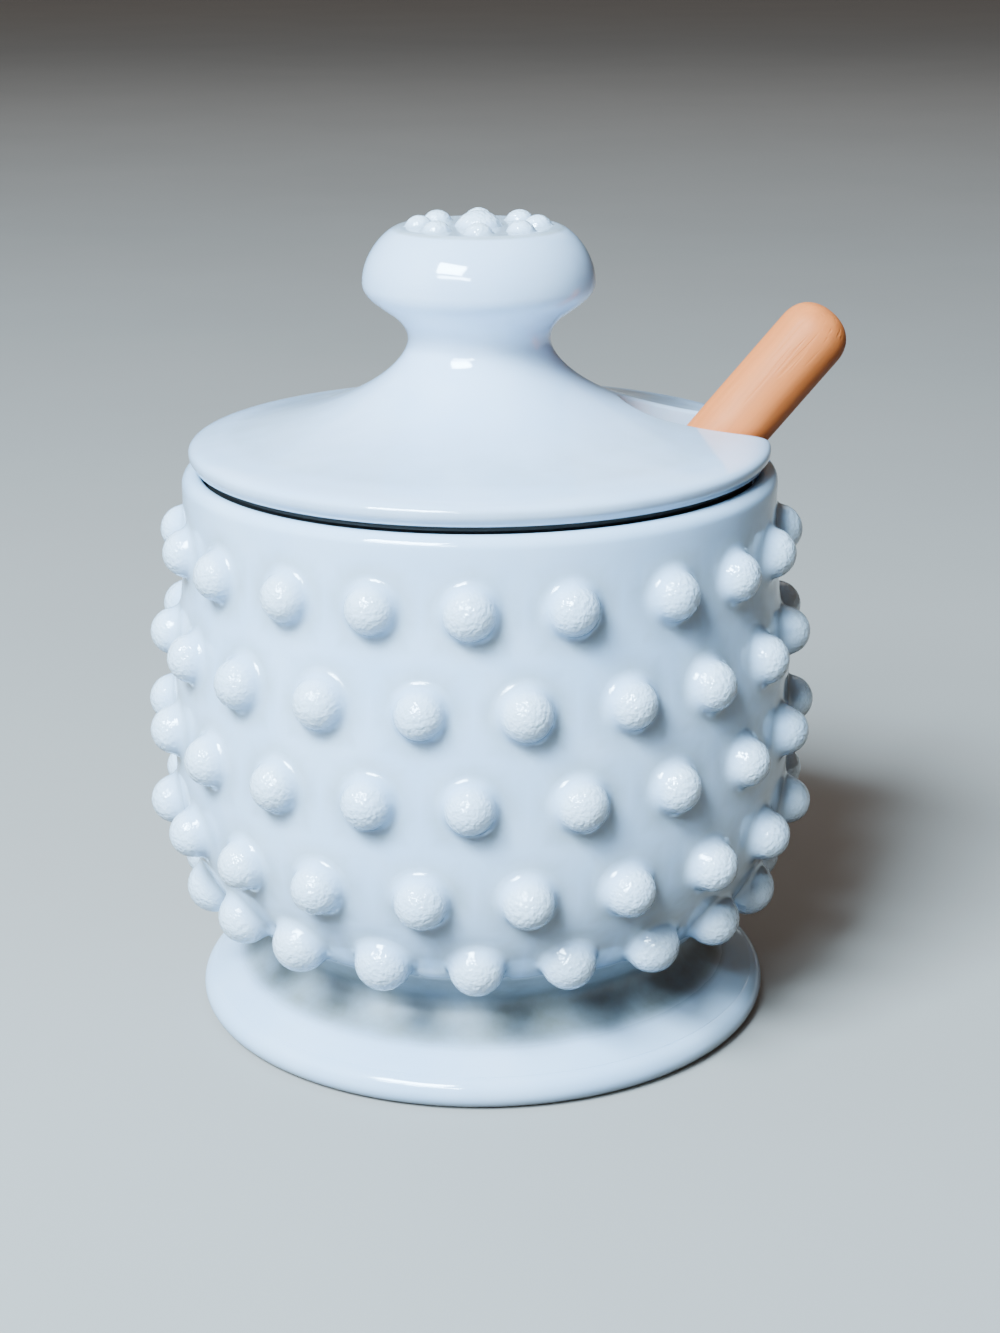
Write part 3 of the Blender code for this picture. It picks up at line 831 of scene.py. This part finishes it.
def wood_group():
    """Grain lines, pores and soft bands of turned beech, running along the third axis."""
    group, bench, given, result = new_group(
        "turned beech grain", {"Grain Scale": 420.0}, ["Grain", "Bands", "Height"]
    )
    stretch = bench.add("ShaderNodeVectorMath", {"operation": "MULTIPLY"})
    bench.feed(stretch, {0: given["Place"], 1: (1.0, 1.0, GRAIN_STRETCH)})
    drawn_out = stretch.outputs[0]
    scale = given["Grain Scale"]
    fine = bench.noise(drawn_out, scale, 4.0, 0.6, 0.3)
    bands = bench.noise(drawn_out, bench.math("MULTIPLY", scale, 0.28), 2.0, 0.5, 0.8)
    pores = bench.noise(drawn_out, bench.math("MULTIPLY", scale, 3.2), 1.0, 0.5)
    bench.feed(result, {
        "Grain": bench.ramp(fine, 0.4, 0.75),
        "Bands": bench.ramp(bands, 0.35, 0.7),
        "Height": bench.math("SUBTRACT", fine, bench.ramp(pores, 0.62, 0.74)),
    })
    return group


def new_material(name, colour):
    """An empty Principled material, with its bench and its shader."""
    material = bpy.data.materials.new(name)
    material.use_nodes = True
    material.diffuse_color = (*colour, 1.0)
    return material, NodeBench(material.node_tree), material.node_tree.nodes["Principled BSDF"]


def milk_glass(name, body_colour, settings):
    """Glossy opaque milk glass with faint clouds, mould ripples, a painted highlight on raised crowns,
    painted shade in hollows and near-black painted shade in seams.
    """
    material, bench, shader = new_material(name, body_colour)
    place = bench.add("ShaderNodeTexCoord").outputs["Object"]
    raised = bench.attribute("raised")
    seam = bench.attribute("seam")
    surface = bench.group("pressed glass surface", pressed_glass_group, Place=place, Raised=raised)
    shade_and_wear = bench.group("settled dust and handling", shade_and_wear_group, Place=place, Hollow=bench.attribute("hollow"))
    # Share of the paler colour: the clouds, plus a painted highlight on the raised crowns
    clouds = bench.math("MULTIPLY", surface["Clouds"], CLOUD_SHARE)
    clouds = bench.math("ADD", clouds, bench.math("MULTIPLY", raised, CROWN_PAINTED_LIGHT_SHARE))
    colour = bench.mix(clouds, (*body_colour, 1.0), (*settings.cloud_and_crown_light_colour, 1.0))
    # Painted shade in the hollows, which also dulls the gloss there
    painted_shade = bench.math("MULTIPLY", shade_and_wear["Dust"], PAINTED_SHADE_SHARE)
    colour = bench.mix(painted_shade, colour, (*settings.painted_shade_colour, 1.0))
    # Near-black painted shade in the lid's seam and the jar's waist
    colour = bench.mix(seam, colour, (*settings.deep_shade_colour, 1.0))
    roughness = settings.roughness
    for mask, added in ((shade_and_wear["Marks"], 0.05), (shade_and_wear["Dust"], 0.12), (seam, 0.7)):
        roughness = bench.math("ADD", bench.math("MULTIPLY", mask, added), roughness)
    bench.feed(shader, {
        "Base Color": colour,
        "Roughness": roughness,
        "Normal": bench.bump(surface["Height"], 0.25 * MM),
        "IOR": 1.52,
        "Specular IOR Level": 0.9,
        "Subsurface Weight": 0.25,
        "Subsurface Radius": (0.9, 1.0, 1.1),
        "Subsurface Scale": 1.2 * MM,
    })
    return material


def beech(settings, frame_of_dipper):
    """Turned beech with grain that runs along the dipper."""
    material, bench, shader = new_material("dipper beech", settings.light_wood)
    inverse = frame_of_dipper.inverted()
    along = bench.add(
        "ShaderNodeMapping",
        {"vector_type": "POINT"},
        Vector=bench.add("ShaderNodeTexCoord").outputs["Object"],
        Location=inverse.translation,
        Rotation=inverse.to_euler(),
    ).outputs["Vector"]
    grain = bench.group("turned beech grain", wood_group, Place=along)
    shade_and_wear = bench.group("settled dust and handling", shade_and_wear_group, Place=along)
    dark = (*settings.dark_wood, 1.0)
    bands = bench.math("MULTIPLY", grain["Bands"], BAND_SHARE)
    colour = bench.mix(bands, (*settings.light_wood, 1.0), dark)
    colour = bench.mix(bench.math("MULTIPLY", grain["Grain"], GRAIN_SHARE), colour, dark)
    bench.feed(shader, {
        "Base Color": colour,
        "Roughness": bench.math("SUBTRACT", 0.6, bench.math("MULTIPLY", shade_and_wear["Marks"], 0.12)),
        "Normal": bench.bump(grain["Height"], 0.08 * MM),
        "Specular IOR Level": 0.25,
        "Subsurface Weight": 0.1,
        "Subsurface Radius": (1.0, 0.5, 0.25),
        "Subsurface Scale": 1.0 * MM,
    })
    return material


def lid_top_outline(settings):
    """The upper side of the lid, from the middle of the knob over the slope to the lip."""
    knob_top = line((0.0, KNOB_TOP[1]), KNOB_TOP, 36)
    widest = (settings.knob_radius, KNOB_WIDEST_HEIGHT)
    cap = curve(KNOB_TOP, (KNOB_TOP_PULL, 0.0), (0.0, KNOB_PULL_UP), widest, 14)
    under = curve(widest, (0.0, -KNOB_PULL_DOWN), (0.0, NECK_PULL_UP), NECK, 14)
    slope = curve(NECK, (0.0, -NECK_PULL_DOWN), SLOPE_PULL, BRIM_START, 30)
    brim = (settings.radius, BRIM_WIDEST_HEIGHT)
    roll = curve(BRIM_START, ROLL_PULL, (0.0, BRIM_PULL_UP), brim, 16)
    lip_top = (LIP_RADIUS, LIP_HEIGHT + LIP_ROUND)
    tuck = curve(brim, (0.0, -BRIM_PULL_DOWN), TUCK_PULL, lip_top, 8)
    lip = arc((LIP_RADIUS - LIP_ROUND, LIP_HEIGHT + LIP_ROUND), LIP_ROUND, 0.0, -90.0, 4)
    return join_outline(knob_top, cap, under, slope, roll, tuck, lip)


def lid_under_outline():
    """The under side of the lid, from its seat over the flange to the hollow's middle."""
    seat = [(SEAT_RADIUS, LIP_HEIGHT), (SEAT_RADIUS, SEAT_HEIGHT), (FLANGE_RADIUS, SEAT_HEIGHT)]
    outer_centre = (FLANGE_RADIUS - FLANGE_ROUND, FLANGE_BOTTOM + FLANGE_ROUND)
    inner_centre = (FLANGE_INNER_RADIUS + FLANGE_ROUND, FLANGE_BOTTOM + FLANGE_ROUND)
    outer = arc(outer_centre, FLANGE_ROUND, 0.0, -90.0, 3)
    inner = arc(inner_centre, FLANGE_ROUND, 270.0, 180.0, 3)
    hollow = curve(LID_INSIDE, LID_INSIDE_PULL, (LID_INSIDE_TOP_PULL, 0.0), (0.0, LID_INSIDE_TOP), 16)
    return join_outline(seat, outer, inner, hollow)


def bead_rise(x, y, settings):
    """How far the knob's flat top is raised by its beads at a point."""
    rise = dome_rise(math.hypot(x, y), settings.centre_bead_radius, settings.centre_bead_height)
    for index in range(settings.beads):
        angle = FULL_TURN * index / settings.beads
        bead = (math.sin(angle) * BEAD_RING_RADIUS, -math.cos(angle) * BEAD_RING_RADIUS)
        aside = math.dist((x, y), bead)
        rise = max(rise, dome_rise(aside, settings.bead_radius, settings.bead_height))
    return rise


def dome_rise(aside, radius, height):
    """Height of a small dome with a soft foot at a distance from its middle."""
    share = min(aside / radius, 1.0)
    return height * (1.0 - share * share) ** BEAD_FULLNESS


def raise_beads(lid, settings):
    """Lift the beads out of the knob's flat top."""
    edit_mesh(lid)
    mesh = bmesh.from_edit_mesh(lid.data)
    for vert in mesh.verts:
        if vert.co.z > KNOB_TOP[1] - BEAD_ZONE_MARGIN and from_axis(vert.co) < BEAD_ZONE:
            vert.co.z += bead_rise(vert.co.x, vert.co.y, settings)
    bmesh.update_edit_mesh(lid.data)
    bpy.ops.object.mode_set(mode="OBJECT")


def notch_path(settings):
    """The notch seen from above: (along, across, outward along, outward across) of each point."""
    half = settings.notch_width / 2.0
    corner_start = math.sqrt(settings.radius ** 2 - half ** 2) - NOTCH_CORNER_ROUND
    straight = line((NOTCH_END_RADIUS, half), (corner_start, half), NOTCH_SIDE_STEPS)
    side = [(along, across, 0.0, 1.0) for along, across in straight]
    for step in range(1, NOTCH_CORNER_STEPS + 1):
        turn = math.radians(90.0 * step / NOTCH_CORNER_STEPS)
        along = corner_start + NOTCH_CORNER_ROUND * math.sin(turn)
        across = half + NOTCH_CORNER_ROUND * (1.0 - math.cos(turn))
        side.append((along, across, -math.sin(turn), math.cos(turn)))
    side.append((settings.radius + NOTCH_OVERSHOOT[0], half + NOTCH_OVERSHOOT[1], 0.0, 1.0))
    end = []
    for step in range(1, NOTCH_SIDE_STEPS):
        turn = math.radians(90.0 + 180.0 * step / NOTCH_SIDE_STEPS)
        out_along, out_across = math.cos(turn), math.sin(turn)
        end.append((NOTCH_END_RADIUS + half * out_along, half * out_across, out_along, out_across))
    mirrored = [(along, -across, out_along, -out_across) for along, across, out_along, out_across in side]
    return side[::-1] + end + mirrored


def notch_levels(top_at, path_point):
    """(offset outwards, height) of the cutter's levels at one point of the notch's path."""
    along, across, out_along, out_across = path_point
    levels = [(0.0, FLANGE_BOTTOM - NOTCH_BELOW)]
    for step in range(NOTCH_EDGE_STEPS + 1):
        turn = math.radians(90.0 * step / NOTCH_EDGE_STEPS)
        offset = NOTCH_EDGE_ROUND * (1.0 - math.cos(turn))
        sunk = NOTCH_EDGE_ROUND * (1.0 - math.sin(turn))
        radius = math.hypot(along + out_along * offset, across + out_across * offset)
        levels.append((offset, top_at(radius) - sunk + NOTCH_CLEARANCE))
    levels.append((NOTCH_EDGE_ROUND, levels[-1][1] + NOTCH_ABOVE))
    return levels


def notch_cutter(settings, top_outline):
    """A closed shape of the notch's space, flared at the lid's upper side to round its edge."""
    falling = [point for point in top_outline if point[0] >= NECK[0] and point[1] < NECK[1]]

    def top_at(radius):
        """Height of the lid's upper side at a radius."""
        for inner, outer in zip(falling, falling[1:]):
            if inner[0] <= radius <= outer[0]:
                share = (radius - inner[0]) / max(outer[0] - inner[0], MERGE)
                return inner[1] + (outer[1] - inner[1]) * share
        return BRIM_WIDEST_HEIGHT

    path = notch_path(settings)
    levels = zip(*(notch_levels(top_at, point) for point in path))
    cosine = math.cos(NOTCH_TURN)
    sine = math.sin(NOTCH_TURN)
    cage = bmesh.new()
    loops = []
    for level in levels:
        loop = []
        for (along, across, out_along, out_across), (offset, height) in zip(path, level):
            far = along + out_along * offset
            aside = across + out_across * offset
            loop.append(cage.verts.new((far * cosine - aside * sine, far * sine + aside * cosine, height)))
        loops.append(loop)
    for lower, upper in zip(loops, loops[1:]):
        for index in range(len(lower)):
            after = (index + 1) % len(lower)
            cage.faces.new((lower[index], lower[after], upper[after], upper[index]))
    cage.faces.new(loops[0][::-1])
    cage.faces.new(loops[-1])
    bmesh.ops.recalc_face_normals(cage, faces=cage.faces)
    mesh = bpy.data.meshes.new("notch space")
    cage.to_mesh(mesh)
    cage.free()
    cutter = bpy.data.objects.new("notch space", mesh)
    bpy.context.scene.collection.objects.link(cutter)
    return cutter


def cut_notch(lid, settings, top_outline):
    """Cut the notch out of the lid with its rounded edge."""
    cutter = notch_cutter(settings, top_outline)
    select_only(lid)
    cut = lid.modifiers.new("Notch", "BOOLEAN")
    cut.operation = "DIFFERENCE"
    cut.object = cutter
    cut.solver = "EXACT"
    bpy.ops.object.modifier_apply(modifier=cut.name)
    bpy.data.objects.remove(cutter)
    if not lid.data.polygons:
        raise RuntimeError("cutting the notch left nothing of the lid")


def head_outline():
    """The grooved head, with rounded disc edges, from its uppermost disc to its tip."""
    pitch = DISC_THICKNESS + GROOVE_WIDTH
    length = HEAD_DISCS * pitch - GROOVE_WIDTH

    def barrel(height):
        """Radius of the head's barrel shape at a height above the dipper's tip."""
        across = 2.0 * (height - HEAD_TIP_LENGTH) / length - 1.0
        return HEAD_RADIUS * (1.0 - HEAD_END_NARROWING * across * across)

    outline = []
    for disc in range(HEAD_DISCS):
        upper = HEAD_TIP_LENGTH + length - disc * pitch
        lower = upper - DISC_THICKNESS
        outline.append((HEAD_CORE_RADIUS, upper))
        upper_edge = shifted((barrel(upper), upper), (-DISC_EDGE_ROUND, -DISC_EDGE_ROUND))
        outline += arc(upper_edge, DISC_EDGE_ROUND, 90.0, 0.0, 4)
        if disc == HEAD_DISCS - 1:
            break
        lower_edge = shifted((barrel(lower), lower), (-DISC_EDGE_ROUND, DISC_EDGE_ROUND))
        outline += arc(lower_edge, DISC_EDGE_ROUND, 0.0, -90.0, 4)
        outline.append((HEAD_CORE_RADIUS, lower))
    tip_start = (barrel(HEAD_TIP_LENGTH), HEAD_TIP_LENGTH)
    return outline + curve(tip_start, TIP_PULL, (TIP_END_PULL, 0.0), (0.0, 0.0), 12)


def dipper_outline(settings):
    """The dipper from the rounded end of its handle to the tip of its head."""
    length = LENGTH_ABOVE_CROSSING + LENGTH_BELOW_CROSSING
    head_top = HEAD_TIP_LENGTH + HEAD_DISCS * (DISC_THICKNESS + GROOVE_WIDTH) - GROOVE_WIDTH
    radius = settings.handle_radius
    end = (radius, length - HANDLE_END_ROUND)
    handle_end = curve((0.0, length), (HANDLE_END_PULLS[0], 0.0), (0.0, HANDLE_END_PULLS[1]), end, 14)
    handle = line(end, (radius, head_top + SHOULDER_LENGTH), 24)
    neck = (HEAD_CORE_RADIUS, head_top)
    shoulder = curve(handle[-1], (0.0, -SHOULDER_PULLS[0]), (0.0, SHOULDER_PULLS[1]), neck, 6)
    return join_outline(handle_end, handle, shoulder, head_outline())


def dipper_frame():
    """The dipper's place: its tip at the origin and its handle along the third axis."""
    along = Vector((math.cos(NOTCH_TURN), math.sin(NOTCH_TURN), 0.0))
    across = Vector((-math.sin(NOTCH_TURN), math.cos(NOTCH_TURN), 0.0))
    axis = along * math.cos(DIPPER_SLOPE) + Vector((0.0, 0.0, math.sin(DIPPER_SLOPE)))
    crossing = along * CROSSING_RADIUS + across * DIPPER_SIDE_SHIFT + Vector((0.0, 0.0, CROSSING_HEIGHT))
    tip = crossing - axis * LENGTH_BELOW_CROSSING
    return Matrix.Translation(tip) @ axis.to_track_quat("Z", "Y").to_matrix().to_4x4()


def lid_seam(place):
    """1 on the lid's under side where it comes near the jar's rim, and 0 elsewhere; it places the near-black
    painted shade in the seam.
    """
    near_rim = place.z < LIP_HEIGHT + SEAM_MARGIN[1] and from_axis(place) > FLANGE_RADIUS - SEAM_MARGIN[0]
    return 1.0 if near_rim else 0.0


def on_roll(place):
    """How far a point of the lid lies on its brim's roll, which the painted shade of the slope spares so that
    it stays bright, from 0 to 1.
    """
    if place.z > ROLL_TOP:
        return 0.0
    outwards = share_between(from_axis(place), ROLL_START, ROLL_FULL)
    return outwards * share_between(place.z, ROLL_BOTTOM, ROLL_BOTTOM + ROLL_FADE_UP)


def lid_hollow(place):
    """How much painted shade, with a duller gloss, a point of the lid gets: between the knob's beads, on the
    slope and under the roll.
    """
    if place.z > KNOB_TOP[1] - BEAD_HOLLOW_MARGIN:
        return BEAD_HOLLOW_SHARE * max(0.0, 1.0 - (place.z - KNOB_TOP[1]) / BEAD_HOLLOW_RISE)
    if place.z < ROLL_BOTTOM:
        return LIP_SHADE_AND_DULL_SHARE
    on_slope = share_between(from_axis(place), SLOPE_SHADE_START, SLOPE_SHADE_END)
    return SLOPE_SHADE_AND_DULL_SHARE * on_slope * (1.0 - on_roll(place))


def lid_raised(place):
    """How far up a bead on the knob a point of the lid lies, from 0 to 1, which sets a painted highlight on
    its crown and its pebbled bump.
    """
    return share_between(place.z, KNOB_TOP[1], KNOB_TOP[1] + BEAD_CROWN_RISE)


class HONEYPOT_OT_jar(bpy.types.Operator):
    """Model the footed jar with its rows of hobnails"""

    bl_idname = "honeypot.jar"
    bl_label = "Jar"

    def execute(self, context):
        settings = context.scene.honey_pot_jar
        glass = context.scene.honey_pot_glass
        wall = Wall(settings)
        hobnails = all_hobnails(settings, wall)
        turns = settings.hobnails_in_row * BED_SIDE
        jar = turn_piece("jar_milk_glass", jar_outline(settings, wall), turns, HOBNAIL_TURN)
        raise_hobnails(jar, settings, wall, hobnails)
        reach = settings.hobnail_foot
        # Painted shade in the hollows round the hobnails and in the waist
        paint_attribute(jar, "hollow", lambda place: hollow_near(place, hobnails, wall, reach))
        # Near-black painted shade in the waist, at half strength
        paint_attribute(jar, "seam", lambda place: WAIST_DEEP_SHADE_SHARE * waist_share(place))
        # The crowns' rise sets a painted highlight and the pebbled bump
        paint_attribute(jar, "raised", lambda place: raised_at(place, wall))
        jar.data.materials.append(milk_glass("jar milk glass", glass.jar_colour, glass))
        finish_piece(jar, "jar")
        return {"FINISHED"}


class HONEYPOT_OT_lid(bpy.types.Operator):
    """Model the lid with its knob, beads and notch"""

    bl_idname = "honeypot.lid"
    bl_label = "Lid"

    def execute(self, context):
        settings = context.scene.honey_pot_lid
        glass = context.scene.honey_pot_glass
        top = lid_top_outline(settings)
        lid = turn_piece("lid_milk_glass", join_outline(top, lid_under_outline()), LID_TURNS)
        raise_beads(lid, settings)
        cut_notch(lid, settings, top)
        # Painted shade between the beads, on the slope and under the roll
        paint_attribute(lid, "hollow", lid_hollow)
        # Near-black painted shade in the seam under the brim
        paint_attribute(lid, "seam", lid_seam)
        # The beads' rise sets a painted highlight and the pebbled bump
        paint_attribute(lid, "raised", lid_raised)
        lid.data.materials.append(milk_glass("lid milk glass", glass.lid_colour, glass))
        finish_piece(lid, "lid")
        return {"FINISHED"}


class HONEYPOT_OT_dipper(bpy.types.Operator):
    """Model the turned wooden dipper"""

    bl_idname = "honeypot.dipper"
    bl_label = "Dipper"

    def execute(self, context):
        settings = context.scene.honey_pot_dipper
        dipper = turn_piece("dipper_beech", dipper_outline(settings), DIPPER_TURNS)
        placed = dipper_frame()
        dipper.matrix_world = placed
        select_only(dipper)
        bpy.ops.object.transform_apply(location=True, rotation=True, scale=True)
        dipper.data.materials.append(beech(settings, placed))
        finish_piece(dipper, "dipper")
        return {"FINISHED"}


def add_light(name, power, place, size, colour):
    """A soft rectangular light that faces the pot's middle."""
    data = bpy.data.lights.new(name, "AREA")
    data.shape = "RECTANGLE"
    data.size, data.size_y = size
    data.energy = power
    data.color = colour
    light = bpy.data.objects.new(name, data)
    bpy.context.scene.collection.objects.link(light)
    light.location = place
    light.rotation_euler = (Vector(POT_MIDDLE) - Vector(place)).to_track_quat("-Z", "Y").to_euler()


def add_camera():
    """The camera that looks at the pot from the photograph's side."""
    data = bpy.data.cameras.new("camera")
    data.sensor_width = CAMERA_SENSOR
    data.lens = CAMERA_LENS
    data.clip_start, data.clip_end = CAMERA_CLIP
    camera = bpy.data.objects.new("camera", data)
    bpy.context.scene.collection.objects.link(camera)
    forward = CAMERA_FORWARD.normalized()
    right = forward.cross(CAMERA_UP).normalized()
    turned = Matrix((right, right.cross(forward), -forward)).transposed().to_4x4()
    camera.matrix_world = Matrix.Translation(CAMERA_PLACE) @ turned
    return camera


def air_light(strength):
    """Soft light from all round, brighter from the left and above than from the right and below."""
    world = bpy.data.worlds.new("soft light")
    world.use_nodes = True
    bench = NodeBench(world.node_tree)
    direction = bench.add("ShaderNodeTexCoord").outputs["Generated"]
    parts = bench.add("ShaderNodeSeparateXYZ", Vector=direction).outputs
    sides = bench.mix(bench.ramp(parts["X"], -0.8, 0.4), AIR_LEFT, AIR_RIGHT)
    colour = bench.mix(bench.ramp(parts["Z"], -0.3, 0.1), AIR_BELOW, sides)
    colour = bench.mix(bench.ramp(parts["Z"], 0.3, 0.9), colour, AIR_ABOVE)
    bench.feed(world.node_tree.nodes["Background"], {"Color": colour, "Strength": strength})
    return world


def floor_material(colour):
    """Plain pale floor with a barely uneven tone."""
    material, bench, shader = new_material("pale floor", colour)
    place = bench.add("ShaderNodeTexCoord").outputs["Object"]
    tone = bench.ramp(bench.noise(place, 6.0, 4.0, 0.6), 0.3, 0.7)
    darker = tuple(channel * 0.95 for channel in colour)
    bench.feed(shader, {"Base Color": bench.mix(tone, (*colour, 1.0), (*darker, 1.0)), "Roughness": 0.75})
    return material


class HONEYPOT_OT_stage(bpy.types.Operator):
    """Lay the floor, hang the lights and set up the camera"""

    bl_idname = "honeypot.stage"
    bl_label = "Stage"

    def execute(self, context):
        settings = context.scene.honey_pot_stage
        bpy.ops.object.select_all(action="DESELECT")
        bpy.ops.mesh.primitive_plane_add(size=FLOOR_SIDE)
        floor = context.active_object
        floor.name = "floor"
        floor.data.materials.append(floor_material(settings.floor_colour))
        floor.visible_diffuse = False
        for name, setting, place, size, colour in LIGHTS:
            add_light(name, getattr(settings, setting), place, size, colour)
        context.scene.world = air_light(settings.air_strength)
        context.scene.camera = add_camera()
        return {"FINISHED"}


class HONEYPOT_PT_panel(bpy.types.Panel):
    """The pot's settings and the steps that model it"""

    bl_label = "Honey Pot"
    bl_space_type = "VIEW_3D"
    bl_region_type = "UI"
    bl_category = "Honey Pot"

    def draw(self, context):
        for label, group, operator in STEPS:
            box = self.layout.box()
            box.label(text=label)
            for name in getattr(context.scene, group).__annotations__:
                box.prop(getattr(context.scene, group), name)
            if operator:
                box.operator(operator)


STEPS = [
    ("Glass", "honey_pot_glass", None),
    ("Jar", "honey_pot_jar", "honeypot.jar"),
    ("Lid", "honey_pot_lid", "honeypot.lid"),
    ("Dipper", "honey_pot_dipper", "honeypot.dipper"),
    ("Stage", "honey_pot_stage", "honeypot.stage"),
]

SETTINGS = {
    "honey_pot_jar": HoneyPotJarSettings,
    "honey_pot_lid": HoneyPotLidSettings,
    "honey_pot_dipper": HoneyPotDipperSettings,
    "honey_pot_glass": HoneyPotGlassSettings,
    "honey_pot_stage": HoneyPotStageSettings,
}

CLASSES = [
    *SETTINGS.values(),
    HONEYPOT_OT_jar,
    HONEYPOT_OT_lid,
    HONEYPOT_OT_dipper,
    HONEYPOT_OT_stage,
    HONEYPOT_PT_panel,
]


def register():
    """Register the settings, operators and panel."""
    for item in CLASSES:
        bpy.utils.register_class(item)
    for name, group in SETTINGS.items():
        setattr(bpy.types.Scene, name, PointerProperty(type=group))


def unregister():
    """Remove the settings, operators and panel."""
    for name in SETTINGS:
        delattr(bpy.types.Scene, name)
    for item in reversed(CLASSES):
        bpy.utils.unregister_class(item)


def main():
    """Model the pot and its stage."""
    register()
    bpy.ops.honeypot.jar()
    bpy.ops.honeypot.lid()
    bpy.ops.honeypot.dipper()
    bpy.ops.honeypot.stage()


if __name__ == "__main__":
    main()
